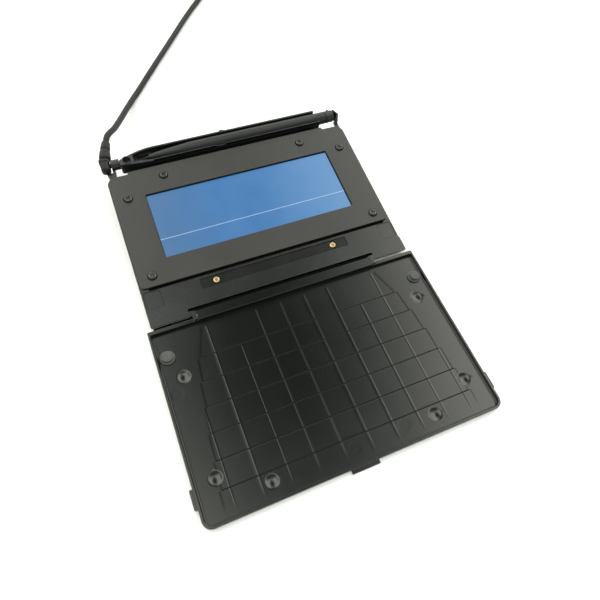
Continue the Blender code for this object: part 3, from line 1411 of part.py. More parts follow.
def least_gap(path, radius):
    """The smallest gap between two turns of a tube, measured between points along it."""
    runs = []
    distance = 0.0
    for start, end in zip(path, path[1:]):
        for share in GAP_TEST_SHARES:
            runs.append((distance + (end - start).length * share, start.lerp(end, share)))
        distance += (end - start).length
    apart = COIL_MIDDLE_RADIUS
    return min(
        (spot - other).length
        for i, (run, spot) in enumerate(runs)
        for other_run, other in runs[i + 1:]
        if other_run - run > apart
    ) - 2 * radius


def build_cable():
    run = smooth_path(CABLE_ROUTE, CABLE_SPACING)
    coil = coil_path()
    tail = smooth_path(TAIL_ROUTE, CABLE_SPACING)
    place("cable_run", tube(run, CABLE_RADIUS), table_frame, CABLE_GREY)
    place("cable_coil", tube(coil, CABLE_RADIUS, 1), table_frame, CABLE_GREY)
    place("cable_tail", tube(tail, CABLE_RADIUS), table_frame, CABLE_GREY)
    print("least gap in the coil:", least_gap(coil, CABLE_RADIUS))
    print("cable lengths:", path_length(run), path_length(coil), path_length(tail))


def build_coil_tie():
    turns_in_layer = COIL_TURNS / COIL_LAYERS
    spread = COIL_PITCH * turns_in_layer / 2 + CABLE_RADIUS + TIE_CLEARANCE
    top = coil_level(COIL_TURNS) + CABLE_RADIUS + FIT_GAP
    inner_x = (COIL_MIDDLE_RADIUS - spread, COIL_MIDDLE_RADIUS + spread)
    outer_x = (inner_x[0] - TIE_THICKNESS, inner_x[1] + TIE_THICKNESS)
    turn = Matrix.Translation((*COIL_PLACE, 0.0)) @ Matrix.Rotation(
        math.radians(TIE_DEGREES), 4, "Z") @ Matrix.Rotation(math.radians(90.0), 4, "X")
    band = slab(rounded(outer_x, (0.0, top + TIE_THICKNESS), TIE_CORNER + TIE_THICKNESS),
                -TIE_WIDTH / 2, TIE_WIDTH / 2)
    tie = place("coil_tie", moved(band, turn), table_frame, RUBBER_BLACK)
    hole = slab(rounded(inner_x, (TIE_THICKNESS, top), TIE_CORNER),
                -TIE_WIDTH / 2 - OVERRUN, TIE_WIDTH / 2 + OVERRUN)
    cut(tie, moved(hole, turn))


def build_plug():
    grip = place("usb_grip", box((0.0, GRIP_LENGTH), half_span(GRIP_WIDTH),
                                 half_span(GRIP_HEIGHT)), plug_frame, RUBBER_BLACK)
    soften(grip, GRIP_EDGE)
    start = GRIP_LENGTH + FIT_GAP
    shell = place("usb_shell", box((start, start + SHELL_LENGTH), half_span(SHELL_WIDTH),
                                   half_span(SHELL_HEIGHT)), plug_frame, BRIGHT_STEEL)
    mouth_top = SHELL_HEIGHT / 2 - SHELL_WALL
    cut(shell, box(
        (start + SHELL_LENGTH - SHELL_MOUTH_DEPTH, start + SHELL_LENGTH + OVERRUN),
        half_span(SHELL_WIDTH, -SHELL_WALL),
        (mouth_top - SHELL_TONGUE, mouth_top),
    ))


def main():
    build_cover_shell()
    build_cover_bumpers()
    build_housing_base()
    build_rubber_feet()
    build_top_frame()
    build_face_plate()
    build_face_screws()
    build_channel_fittings()
    build_hinge_pin()
    build_screen_stack()
    build_main_board()
    build_lcd_ribbon()
    build_internal_lead()
    build_pen_tray()
    build_tray_screws()
    build_stylus()
    build_cable_arm()
    build_cable_elbow()
    build_strain_relief()
    build_cable()
    build_coil_tie()
    build_plug()


main()
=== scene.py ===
"""Looks of a signature pad: a low wedge with a lit screen, a cover folded open on the table,
a pen tray behind the pad with a stylus in it, and a cable put away in a coil.

Each sub-assembly is a class that holds its sizes in millimetres, measured in its own
directions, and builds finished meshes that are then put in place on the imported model.
"""

import json
import logging
import math
from dataclasses import dataclass
from enum import Enum
from functools import partialmethod
from typing import Callable, Iterable, Optional, Sequence

import bmesh
import bpy
import numpy as np
from mathutils import Matrix, Vector


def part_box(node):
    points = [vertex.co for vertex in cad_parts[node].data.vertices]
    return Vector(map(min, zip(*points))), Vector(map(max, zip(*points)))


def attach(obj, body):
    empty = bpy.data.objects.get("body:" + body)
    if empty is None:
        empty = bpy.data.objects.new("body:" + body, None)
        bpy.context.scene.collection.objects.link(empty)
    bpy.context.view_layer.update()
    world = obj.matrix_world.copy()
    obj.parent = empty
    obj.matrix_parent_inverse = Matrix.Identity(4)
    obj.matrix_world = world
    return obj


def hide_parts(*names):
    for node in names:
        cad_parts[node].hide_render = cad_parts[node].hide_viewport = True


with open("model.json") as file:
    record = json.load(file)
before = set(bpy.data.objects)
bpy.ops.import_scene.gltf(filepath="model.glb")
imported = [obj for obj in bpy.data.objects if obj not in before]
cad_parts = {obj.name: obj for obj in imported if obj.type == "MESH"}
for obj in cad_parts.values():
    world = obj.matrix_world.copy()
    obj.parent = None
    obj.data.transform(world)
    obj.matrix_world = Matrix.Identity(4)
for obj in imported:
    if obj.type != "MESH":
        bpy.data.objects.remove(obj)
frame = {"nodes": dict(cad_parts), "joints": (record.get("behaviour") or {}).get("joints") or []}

log = logging.getLogger("signature_pad")

Point = tuple[float, float]
Span = tuple[float, float]
Place = tuple[float, float, float]
Colour = tuple[float, float, float]
Outline = list[Point]
Mesh = bpy.types.Mesh
Thing = bpy.types.Object
Material = bpy.types.Material
Node = bpy.types.Node
Socket = bpy.types.NodeSocket
Tree = bpy.types.NodeTree

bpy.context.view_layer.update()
MM = 0.001
WELD = 0.0005
OVERRUN = 1.0
CORNER_STEPS = 8
TURNED_SIDES = 72
SHARP_DEGREES = 38.0
BEVEL_DEGREES = 60.0
SHADER = "ShaderNodeTree"
GEOMETRY_NODES = "GeometryNodeTree"
FLOAT = "NodeSocketFloat"
VECTOR = "NodeSocketVector"
GEOMETRY = "NodeSocketGeometry"

# Sizes that several sub-assemblies share: the pen's axis and the screen's window
PEN_Y = 116.3
PEN_Z = -0.14
SCREEN_X = 62.2
SCREEN_Y = (41.5, 88.0)
SCREEN_CORNER = 1.3


class Body(str, Enum):
    """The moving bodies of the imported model."""

    PAD = "pad"
    COVER = "cover"
    STYLUS = "stylus"


class Slot(str, Enum):
    """The record's material slots."""

    HOUSING = "housing_grey"
    FACE = "face_grey"
    COVER = "cover_black"
    TRAY = "tray_black"
    INLAY = "inlay_black"
    RUBBER = "rubber_black"
    GLASS = "screen_glass"
    CELL = "cell_grey"
    LIGHT_GUIDE = "light_guide_white"
    BOARD = "board_green"
    RIBBON = "ribbon_amber"
    DARK_STEEL = "dark_steel"
    BRIGHT_STEEL = "bright_steel"
    BRASS = "stud_brass"
    STYLUS = "stylus_grey"
    CABLE = "cable_grey"


# Frames of the sub-assemblies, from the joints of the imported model

def joint(name: str) -> dict:
    """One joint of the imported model, by name."""
    return next(entry for entry in frame["joints"] if entry["name"] == name)


HINGE = Vector(joint("cover_hinge")["pos_m"])
LIFT = Vector(joint("stylus_lift")["axis"])
PAD_TILT = math.atan2(-LIFT.y, LIFT.z)
TABLE_FRAME = Matrix.Scale(MM, 4)
COVER_FRAME = Matrix.Translation(HINGE) @ TABLE_FRAME
PAD_FRAME = Matrix.Translation(HINGE) @ Matrix.Rotation(PAD_TILT, 4, "X") @ TABLE_FRAME


# Shader groups that several finishes share

class Wiring:
    """Adds nodes to one node tree and links them."""

    def __init__(self, tree: Tree) -> None:
        """Keep the tree that the nodes go to."""
        self.tree = tree

    def fill(self, node: Node, inputs: dict) -> None:
        """Link the inputs of a node, or set their own values.

        Args:
            node: the node.
            inputs: values or sockets for its inputs, by name or number.
        """
        for key, value in inputs.items():
            if isinstance(value, Socket):
                self.tree.links.new(value, node.inputs[key])
            else:
                node.inputs[key].default_value = value

    def add(self, kind: str, inputs: Optional[dict] = None, **settings: object) -> Node:
        """Add one node.

        Args:
            kind: the node's type.
            inputs: values or sockets for its inputs, by name or number.
            settings: properties of the node itself.

        Returns:
            The new node.
        """
        node = self.tree.nodes.new(kind)
        for name, value in settings.items():
            setattr(node, name, value)
        self.fill(node, inputs or {})
        return node

    def group(self, tree: Tree, where: Socket, inputs: dict) -> Node:
        """A shader group's node at the given coordinates."""
        return self.add("ShaderNodeGroup", {"Vector": where, **inputs}, node_tree=tree)

    def math(self, operation: str, *values: object, clamp: bool = False) -> Socket:
        """A Math node's result for up to three values."""
        node = self.add("ShaderNodeMath", dict(enumerate(values)), operation=operation,
                        use_clamp=clamp)
        return node.outputs[0]

    plus = partialmethod(math, "ADD")
    minus = partialmethod(math, "SUBTRACT")
    times = partialmethod(math, "MULTIPLY")
    scaled = partialmethod(math, "MULTIPLY_ADD")

    def ramp(self, value: object, low: float, high: float, start: float = 0.0,
             end: float = 1.0) -> Socket:
        """A smooth step from one value to another while the input goes from low to high."""
        node = self.add("ShaderNodeMapRange", {0: value, 1: low, 2: high, 3: start, 4: end},
                        interpolation_type="SMOOTHSTEP")
        return node.outputs[0]

    def noise(self, vector: object, scale: object, detail: float = 2.0,
              roughness: float = 0.5) -> Socket:
        """The value of a Noise Texture."""
        node = self.add("ShaderNodeTexNoise", {"Vector": vector, "Scale": scale,
                                               "Detail": detail, "Roughness": roughness})
        return node.outputs["Fac"]

    def blend(self, factor: object, first: object, second: object) -> Socket:
        """A mix of two colours."""
        node = self.add("ShaderNodeMix", {0: factor, 6: first, 7: second}, data_type="RGBA")
        return node.outputs[2]

    def bump(self, strength: float, depth: float, height: Socket) -> Socket:
        """The normal of a surface with a relief, whose depth is in millimetres."""
        node = self.add("ShaderNodeBump", {"Strength": strength, "Distance": depth * MM,
                                           "Height": height})
        return node.outputs["Normal"]

    def finish_geometry(self, put: Node, geometry: Socket, finish: Socket) -> None:
        """End a Geometry Nodes tree: make the geometry real, then give it its finish."""
        real = self.add("GeometryNodeRealizeInstances", {0: geometry})
        done = self.add("GeometryNodeSetMaterial", {"Geometry": real.outputs[0],
                                                    "Material": finish})
        self.fill(put, {0: done.outputs[0]})


def node_group(kind: str, name: str, inputs: dict[str, str], outputs: dict[str, str],
               build: Callable[[Wiring, Node, Node], None]) -> Tree:
    """A node group with named sockets, built once.

    Args:
        kind: the type of its tree, for shading or for geometry.
        name: the group's name.
        inputs: socket type of each named input.
        outputs: socket type of each named output.
        build: function that adds the nodes between the group's two ends.

    Returns:
        The group.
    """
    tree = bpy.data.node_groups.new(name, kind)
    for way, sockets in (("INPUT", inputs), ("OUTPUT", outputs)):
        for label, socket_kind in sockets.items():
            tree.interface.new_socket(label, in_out=way, socket_type=socket_kind)
    wiring = Wiring(tree)
    build(wiring, wiring.add("NodeGroupInput"), wiring.add("NodeGroupOutput"))
    return tree


def build_grain(wiring: Wiring, given: Node, put: Node) -> None:
    """Spark-eroded grain of a moulded skin: fine pits, and slow changes of tone and gloss."""
    where = given.outputs["Vector"]
    fine = wiring.math("DIVIDE", 1.0, given.outputs["Grain Size"])
    pits = wiring.noise(where, fine, 3.0, 0.6)
    slow = wiring.noise(where, wiring.math("DIVIDE", 1.0, given.outputs["Patch Size"]), 2.0)
    speckle = wiring.times(wiring.minus(pits, 0.5), 0.5)
    shift = wiring.plus(wiring.minus(slow, 0.5), speckle)
    wiring.fill(put, {"Height": pits, "Tone": shift, "Gloss Shift": shift})


def build_edge_wear(wiring: Wiring, given: Node, put: Node) -> None:
    """Where a corner is rubbed: how far the rounded normal leaves the true one, broken up."""
    rounded = wiring.add("ShaderNodeBevel", {"Radius": given.outputs["Radius"]}, samples=4)
    true = wiring.add("ShaderNodeNewGeometry")
    match = wiring.add("ShaderNodeVectorMath", {0: rounded.outputs[0], 1: true.outputs["Normal"]},
                       operation="DOT_PRODUCT")
    edge = wiring.ramp(match.outputs["Value"], 0.995, 0.80)
    broken = wiring.ramp(wiring.noise(given.outputs["Vector"], 900.0, 4.0), 0.35, 0.62)
    wiring.fill(put, {"Mask": wiring.times(wiring.times(edge, broken), given.outputs["Amount"])})


def build_dust(wiring: Wiring, given: Node, put: Node) -> None:
    """Dust specks that lie on upward faces, and the dull smears that hands leave."""
    where, amount = given.outputs["Vector"], given.outputs["Amount"]
    specks = wiring.ramp(wiring.noise(where, 2600.0, 1.0), 0.70, 0.78)
    patches = wiring.ramp(wiring.noise(where, 55.0, 3.0), 0.45, 0.70)
    true = wiring.add("ShaderNodeNewGeometry")
    up = wiring.add("ShaderNodeSeparateXYZ", {0: true.outputs["Normal"]}).outputs["Z"]
    lying = wiring.times(wiring.math("MAXIMUM", up, 0.0), specks)
    smear = wiring.ramp(wiring.noise(where, 38.0, 4.0, 0.65), 0.40, 0.72)
    wiring.fill(put, {"Mask": wiring.times(wiring.times(lying, patches), amount),
                      "Smear": wiring.times(smear, amount)})


GRAIN = node_group(SHADER, "moulded_grain",
                   {"Vector": VECTOR, "Grain Size": FLOAT, "Patch Size": FLOAT},
                   {"Height": FLOAT, "Tone": FLOAT, "Gloss Shift": FLOAT}, build_grain)
EDGE_WEAR = node_group(SHADER, "edge_wear", {"Vector": VECTOR, "Radius": FLOAT, "Amount": FLOAT},
                       {"Mask": FLOAT}, build_edge_wear)
DUST = node_group(SHADER, "dust_and_smudge", {"Vector": VECTOR, "Amount": FLOAT},
                  {"Mask": FLOAT, "Smear": FLOAT}, build_dust)
DUST_COLOUR = (0.30, 0.29, 0.27, 1.0)
BLACK = (0.0, 0.0, 0.0, 1.0)


def opaque(colour: Colour, share: float = 1.0) -> tuple[float, float, float, float]:
    """A colour with its alpha, made lighter or darker by a share."""
    return (colour[0] * share, colour[1] * share, colour[2] * share, 1.0)


def new_material(name: str) -> tuple[Material, Wiring, Node, Socket]:
    """A material with nodes.

    Returns:
        The material, its wiring, its Principled shader and its Object coordinates.
    """
    material = bpy.data.materials.new(name)
    material.use_nodes = True
    wiring = Wiring(material.node_tree)
    where = wiring.add("ShaderNodeTexCoord").outputs["Object"]
    return material, wiring, material.node_tree.nodes["Principled BSDF"], where


# Finishes

@dataclass(frozen=True)
class MouldedPlastic:
    """Dyed plastic or rubber from a mould, with grain, worn corners and a little dust."""

    name: str
    colour: Colour
    roughness: float
    grain_size: float = 0.35
    grain_depth: float = 0.006
    patch_size: float = 28.0
    tone_range: float = 0.16
    gloss_range: float = 0.10
    wear: float = 0.35
    wear_radius: float = 0.35
    dust: float = 0.25
    specular: float = 0.5
    sheen: float = 0.0

    def material(self) -> Material:
        """The finish as a material."""
        material, wiring, shader, where = new_material(self.name)
        grain = wiring.group(GRAIN, where, {"Grain Size": self.grain_size * MM,
                                            "Patch Size": self.patch_size * MM})
        wear = wiring.group(EDGE_WEAR, where, {"Radius": self.wear_radius * MM,
                                               "Amount": self.wear})
        dust = wiring.group(DUST, where, {"Amount": self.dust})
        tone = wiring.scaled(grain.outputs["Tone"], 2.0 * self.tone_range, 0.5)
        base = wiring.blend(tone, opaque(self.colour, 1.0 - self.tone_range),
                            opaque(self.colour, 1.0 + self.tone_range))
        worn = tuple(0.6 * part + 0.10 for part in self.colour)
        base = wiring.blend(wear.outputs["Mask"], base, opaque(worn))
        base = wiring.blend(dust.outputs["Mask"], base, DUST_COLOUR)
        gloss = wiring.scaled(grain.outputs["Gloss Shift"], self.gloss_range, self.roughness)
        gloss = wiring.scaled(dust.outputs["Smear"], 0.22, gloss, clamp=True)
        wiring.fill(shader, {
            "Base Color": base, "Roughness": gloss, "Specular IOR Level": self.specular,
            "Sheen Weight": self.sheen,
            "Normal": wiring.bump(0.6, self.grain_depth, grain.outputs["Height"])})
        return material


@dataclass(frozen=True)
class Metal:
    """Turned, stamped or plated metal with fine tool marks and darker stains at random."""

    name: str
    colour: Colour
    roughness: float
    metallic: float = 1.0
    mark_size: float = 0.12
    mark_depth: float = 0.002
    wear: float = 0.3
    wear_radius: float = 0.25

    def material(self) -> Material:
        """The finish as a material."""
        material, wiring, shader, where = new_material(self.name)
        wear = wiring.group(EDGE_WEAR, where, {"Radius": self.wear_radius * MM,
                                               "Amount": self.wear})
        marks = wiring.noise(where, 1.0 / (self.mark_size * MM), 4.0, 0.7)
        stain = wiring.ramp(wiring.noise(where, 420.0, 3.0), 0.35, 0.75)
        base = wiring.blend(stain, opaque(self.colour), opaque(self.colour, 0.72))
        bright = tuple(min(1.0, 1.6 * part + 0.05) for part in self.colour)
        base = wiring.blend(wear.outputs["Mask"], base, opaque(bright))
        gloss = wiring.scaled(wiring.minus(marks, 0.5), 0.30, self.roughness, clamp=True)
        wiring.fill(shader, {"Base Color": base, "Roughness": gloss, "Metallic": self.metallic,
                             "Normal": wiring.bump(0.5, self.mark_depth, marks)})
        return material


@dataclass(frozen=True)
class LitScreen:
    """A lit liquid crystal screen under a clear film, with one line to sign on and a black band of
    painted shade along its edge.
    """

    name: str
    left: Colour
    middle: Colour
    right: Colour
    line: Colour
    line_share: float
    line_width_share: float
    shade_border_shares: Point
    dots_across: float
    dots_up: float
    strength: float = 1.0

    def material(self) -> Material:
        """The finish as a material that reads the screen's own UV map."""
        material, wiring, shader, where = new_material(self.name)
        spot = wiring.add("ShaderNodeSeparateXYZ",
                          {0: wiring.add("ShaderNodeUVMap", uv_map="screen").outputs["UV"]})
        across, up = spot.outputs["X"], spot.outputs["Y"]
        glow = wiring.blend(wiring.ramp(across, 0.02, 0.42), opaque(self.left),
                            opaque(self.middle))
        glow = wiring.blend(wiring.ramp(across, 0.50, 0.98), glow, opaque(self.right))
        cells = wiring.times(self.cell_wave(wiring, across, self.dots_across),
                             self.cell_wave(wiring, up, self.dots_up))
        glow = wiring.blend(wiring.times(cells, 0.10), glow, opaque(self.left, 0.5))
        off_line = wiring.math("ABSOLUTE", wiring.minus(up, self.line_share))
        on_line = wiring.math("LESS_THAN", off_line, self.line_width_share / 2)
        glow = wiring.blend(on_line, glow, opaque(self.line))
        # Painted shade: a black band along the window's edge, where the bezel's edge is in shade
        for along, shade_border in zip((across, up), self.shade_border_shares):
            off_middle = wiring.math("ABSOLUTE", wiring.minus(along, 0.5))
            on_shade_border = wiring.math("GREATER_THAN", off_middle, 0.5 - shade_border)
            glow = wiring.blend(on_shade_border, glow, BLACK)
        film = wiring.noise(where, 60.0, 2.0)
        wiring.fill(shader, {
            "Emission Color": glow, "Emission Strength": self.strength,
            "Base Color": (0.01, 0.014, 0.02, 1.0), "Roughness": wiring.scaled(film, 0.16, 0.22)})
        return material

    @staticmethod
    def cell_wave(wiring: Wiring, along: object, count: float) -> Socket:
        """A mask that is high in the gap between the dots along one direction."""
        turn = wiring.math("SINE", wiring.times(along, count * math.tau))
        return wiring.math("ABSOLUTE", turn)


@dataclass(frozen=True)
class CircuitBoard:
    """Green board with a darker weave and lighter tracks."""

    name: str
    colour: Colour
    track: Colour

    def material(self) -> Material:
        """The finish as a material."""
        material, wiring, shader, where = new_material(self.name)
        cells = wiring.add("ShaderNodeTexVoronoi", {"Vector": where, "Scale": 260.0},
                           feature="DISTANCE_TO_EDGE", distance="EUCLIDEAN")
        tracks = wiring.ramp(cells.outputs["Distance"], 0.10, 0.04)
        weave = wiring.noise(where, 1500.0, 2.0)
        ground = wiring.blend(weave, opaque(self.colour, 0.8), opaque(self.colour, 1.2))
        wiring.fill(shader, {"Base Color": wiring.blend(tracks, ground, opaque(self.track)),
                             "Roughness": wiring.scaled(weave, 0.2, 0.35)})
        return material


@dataclass(frozen=True)
class ClearFilm:
    """Flat film or glass of the inner screen stack, with a faint stripe or haze."""

    name: str
    colour: Colour
    roughness: float
    stripe_scale: float

    def material(self) -> Material:
        """The finish as a material."""
        material, wiring, shader, where = new_material(self.name)
        stripes = wiring.add("ShaderNodeTexWave", {"Vector": where, "Scale": self.stripe_scale,
                                                   "Distortion": 0.4}, wave_type="BANDS")
        tone = wiring.blend(stripes.outputs["Fac"], opaque(self.colour, 0.86),
                            opaque(self.colour, 1.08))
        haze = wiring.noise(where, 90.0, 3.0)
        wiring.fill(shader, {"Base Color": tone,
                             "Roughness": wiring.scaled(haze, 0.15, self.roughness)})
        return material


HOUSING = MouldedPlastic("housing_skin", (0.009, 0.010, 0.0097), 0.25, grain_size=0.35,
                         grain_depth=0.0025, gloss_range=0.05, tone_range=0.08, dust=0.15)
FACE = MouldedPlastic("face_plate_skin", (0.014, 0.014, 0.0130), 0.42, grain_size=0.22,
                      grain_depth=0.004, tone_range=0.05, wear=0.45, specular=0.46)
COVER = MouldedPlastic("cover_skin", (0.0040, 0.0050, 0.0043), 0.18, grain_size=0.60,
                       grain_depth=0.002, gloss_range=0.04, tone_range=0.06, dust=0.06)
TRAY = MouldedPlastic("tray_skin", (0.010, 0.011, 0.011), 0.30, grain_size=0.5, grain_depth=0.003)
# Painted shade: a darker, duller copy of the cover's finish for the thin ribs that run across
CROSS_RIB_SHADE = MouldedPlastic("cover_rib_painted_shade", (0.0050, 0.0056, 0.0052), 0.40, wear=0.0, dust=0.0,
                           specular=0.08)
INLAY = MouldedPlastic("inlay_skin", (0.004, 0.0045, 0.005), 0.30, grain_size=0.25, wear=0.05,
                       dust=0.1, specular=0.26)
# Painted shadow: a near-black finish put in gaps, seams, recesses and holes where there is only shade
SHADOW = MouldedPlastic("painted_gap_shadow", (0.0015, 0.0015, 0.0015), 0.85, wear=0.0, dust=0.0,
                        specular=0.1)
RUBBER = MouldedPlastic("rubber_skin", (0.050, 0.051, 0.050), 0.72, grain_size=0.18,
                        grain_depth=0.008, wear=0.15, sheen=0.08)
PEN = MouldedPlastic("pen_skin", (0.013, 0.0148, 0.0150), 0.42, grain_size=0.5, grain_depth=0.002,
                     specular=0.34)
JACKET = MouldedPlastic("cable_jacket", (0.008, 0.0083, 0.0080), 0.46, grain_size=0.25,
                        grain_depth=0.005, wear=0.1, specular=0.22)
CHIP_WHITE = MouldedPlastic("header_nylon", (0.62, 0.61, 0.56), 0.5, wear=0.0, dust=0.0)
BLACK_OXIDE = Metal("black_oxide_steel", (0.065, 0.065, 0.067), 0.30, metallic=0.8)
NICKEL = Metal("nickel_steel", (0.60, 0.59, 0.57), 0.28)
GOLD = Metal("gold_plate", (0.46, 0.37, 0.19), 0.34)
STUD_PIT_SHADE = Metal("stud_pit_painted_shade", (0.30, 0.15, 0.07), 0.45)
BOARD = CircuitBoard("board_mask", (0.020, 0.120, 0.050), (0.10, 0.30, 0.12))
CELL = ClearFilm("cell_glass", (0.28, 0.31, 0.33), 0.15, 900.0)
GUIDE = ClearFilm("light_guide", (0.72, 0.72, 0.69), 0.40, 500.0)
POLYIMIDE = ClearFilm("polyimide_film", (0.52, 0.26, 0.06), 0.35, 700.0)


# Outlines and profiles

def filleted(points: Sequence[Point], radii: float | Sequence[float], steps: int = CORNER_STEPS,
             closed: bool = True) -> Outline:
    """A polygon or an open line with its corners rounded.

    Args:
        points: the corners.
        radii: one radius, or one for each corner.
        steps: straight pieces in each rounded corner.
        closed: whether the last corner joins the first.

    Returns:
        The rounded outline.
    """
    spots = [Vector(point) for point in points]
    widths = [radii] * len(spots) if isinstance(radii, (int, float)) else list(radii)
    outline = []
    for index, (corner, radius) in enumerate(zip(spots, widths)):
        if radius <= 0 or (not closed and index in (0, len(spots) - 1)):
            outline.append((corner.x, corner.y))
            continue
        back = (spots[index - 1] - corner).normalized()
        ahead = (spots[(index + 1) % len(spots)] - corner).normalized()
        half = back.angle(ahead) / 2
        centre = corner + (back + ahead).normalized() * (radius / math.sin(half))
        first = corner + back * (radius / math.tan(half)) - centre
        last = corner + ahead * (radius / math.tan(half)) - centre
        start = math.atan2(first.y, first.x)
        sweep = (math.atan2(last.y, last.x) - start + math.pi) % math.tau - math.pi
        for step in range(steps + 1):
            angle = start + sweep * step / steps
            outline.append((centre.x + radius * math.cos(angle), centre.y + radius * math.sin(angle)))
    return outline


def rectangle(x: Span, y: Span, near: float = 0.0, far: Optional[float] = None) -> Outline:
    """A rectangle with one corner radius on its near side and one on its far side."""
    far = near if far is None else far
    return filleted([(x[0], y[0]), (x[1], y[0]), (x[1], y[1]), (x[0], y[1])],
                    (near, near, far, far))


def around(width: float, grow: float = 0.0) -> Span:
    """The span of a width about the middle."""
    return (-width / 2 - grow, width / 2 + grow)


def pair(spread: float, y: float) -> Outline:
    """Two places at the same distance either side of the middle."""
    return [(-spread, y), (spread, y)]


def both(reach: float, grow: float = 0.0) -> Span:
    """The span that reaches equally far either side of the middle."""
    return (-reach - grow, reach + grow)


def mirrored(span: Span, side: int) -> Span:
    """A span, or its mirror image where the side is -1."""
    low, high = sorted(side * end for end in span)
    return (low, high)


def circle(spot: Point, radius: float, sides: int = 48) -> Outline:
    """A round outline."""
    return [(spot[0] + radius * math.cos(math.tau * step / sides),
             spot[1] + radius * math.sin(math.tau * step / sides)) for step in range(sides)]


# Mesh tools: each gives a closed mesh with its faces outwards

def bench(name: str, data: bpy.types.ID) -> Thing:
    """A linked object for a mesh or a curve."""
    thing = bpy.data.objects.new(name, data)
    bpy.context.scene.collection.objects.link(thing)
    return thing


def settled(thing: Thing) -> Mesh:
    """The mesh of an object with its modifiers applied; the object is removed."""
    seen = thing.evaluated_get(bpy.context.evaluated_depsgraph_get())
    mesh = bpy.data.meshes.new_from_object(seen)
    bpy.data.objects.remove(thing)
    return mesh


def welded(mesh: Mesh, outwards: bool = True) -> Mesh:
    """A mesh with its doubles merged and its faces turned outwards."""
    work = bmesh.new()
    work.from_mesh(mesh)
    bmesh.ops.remove_doubles(work, verts=work.verts[:], dist=WELD)
    if outwards:
        bmesh.ops.recalc_face_normals(work, faces=work.faces[:])
    work.to_mesh(mesh)
    work.free()
    return mesh


def mesh_of(work: bmesh.types.BMesh, name: str) -> Mesh:
    """The mesh of a finished bmesh, which is freed."""
    mesh = bpy.data.meshes.new(name)
    work.to_mesh(mesh)
    work.free()
    return mesh


def plate(outline: Outline, low: float, high: float, edge: float = 0.0,
          holes: Iterable[Outline] = (), edge_steps: int = 2) -> Mesh:
    """A flat plate between two levels, with rounded edges.

    Args:
        outline: the plan.
        low: level of the underside.
        high: level of the top.
        edge: radius of the edges, which stay inside the outline.
        holes: plans of the openings.
        edge_steps: extra steps in the rounding.

    Returns:
        The plate as a mesh.
    """
    curve = bpy.data.curves.new("plate", "CURVE")
    curve.dimensions = "2D"
    curve.fill_mode = "BOTH"
    curve.extrude = (high - low) / 2 - edge
    curve.bevel_depth = edge
    curve.bevel_resolution = edge_steps
    curve.offset = -edge
    for ring in (outline, *holes):
        spline = curve.splines.new("POLY")
        spline.points.add(len(ring) - 1)
        for point, (x, y) in zip(spline.points, ring):
            point.co = (x, y, 0.0, 1.0)
        spline.use_cyclic_u = True
    mesh = welded(settled(bench("plate", curve)))
    bpy.data.curves.remove(curve)
    mesh.transform(Matrix.Translation((0.0, 0.0, (low + high) / 2)))
    return mesh


def lathe(profile: Sequence[Point], sides: int = TURNED_SIDES) -> Mesh:
    """A turned solid about Z, from (radius, height) points, poles closed."""
    work = bmesh.new()
    rings = []
    for radius, height in profile:
        if radius < WELD:
            rings.append([work.verts.new((0.0, 0.0, height))])
            continue
        rings.append([work.verts.new((x, y, height))
                      for x, y in circle((0.0, 0.0), radius, sides)])
    for upper, lower in zip(rings, rings[1:]):
        for side in range(sides):
            after = (side + 1) % sides
            corners = [upper[side % len(upper)], upper[after % len(upper)],
                       lower[after % len(lower)], lower[side % len(lower)]]
            unique = list(dict.fromkeys(corners))
            if len(unique) > 2:
                work.faces.new(unique)
    bmesh.ops.recalc_face_normals(work, faces=work.faces[:])
    return mesh_of(work, "lathe")


def moved(mesh: Mesh, x: float = 0.0, y: float = 0.0, z: float = 0.0) -> Mesh:
    """A mesh shifted by the given steps."""
    mesh.transform(Matrix.Translation((x, y, z)))
    return mesh


def turned(mesh: Mesh, degrees: float, axis: str) -> Mesh:
    """A mesh turned about one of its axes."""
    mesh.transform(Matrix.Rotation(math.radians(degrees), 4, axis))
    return mesh


def laid_across(section: Mesh) -> Mesh:
    """A plate stood up so that its plan lies in Y and Z and its height along X."""
    return turned(turned(section, 90.0, "X"), 90.0, "Z")


def cross_rod(x: Span, y: float, z: float, radius: float, edge: float = 0.0) -> Mesh:
    """A rod along X."""
    length = x[1] - x[0]
    profile = filleted([(0.0, length), (radius, length), (radius, 0.0), (0.0, 0.0)], edge, 4,
                       closed=False)
    return moved(turned(lathe(profile), 90.0, "Y"), x[0], y, z)


def upright_rod(spot: Point, radius: float, low: float, high: float) -> Mesh:
    """A rod along Z."""
    profile = [(0.0, high), (radius, high), (radius, low), (0.0, low)]
    return moved(lathe(profile), spot[0], spot[1])


def carve(mesh: Mesh, tools: Sequence[Mesh], finish: object, operation: str = "DIFFERENCE") -> Mesh:
    """Cut meshes from a mesh, or unite them with it, one after the other.

    Args:
        mesh: the piece.
        tools: the cutters or additions, whose finish stays on the faces that they leave.
        finish: the finish of the meshes that have none yet.
        operation: DIFFERENCE or UNION.

    Returns:
        The new mesh.
    """
    for part in (mesh, *tools):
        if not part.materials:
            painted(part, finish)
    piece = bench("piece", mesh)
    helpers = [bench("tool", tool) for tool in tools]
    for helper in helpers:
        step = piece.modifiers.new(operation.lower(), "BOOLEAN")
        step.operation = operation
        step.solver = "EXACT"
        step.material_mode = "TRANSFER"
        step.object = helper
    result = settled(piece)
    for helper in helpers:
        bpy.data.objects.remove(helper)
    return welded(result, outwards=False)


def softened(mesh: Mesh, width: float, segments: int) -> Mesh:
    """A mesh with its sharp edges rounded."""
    piece = bench("piece", mesh)
    bevel = piece.modifiers.new("edges", "BEVEL")
    bevel.width = width
    bevel.segments = segments
    bevel.limit_method = "ANGLE"
    bevel.angle_limit = math.radians(BEVEL_DEGREES)
    bevel.use_clamp_overlap = True
    return settled(piece)


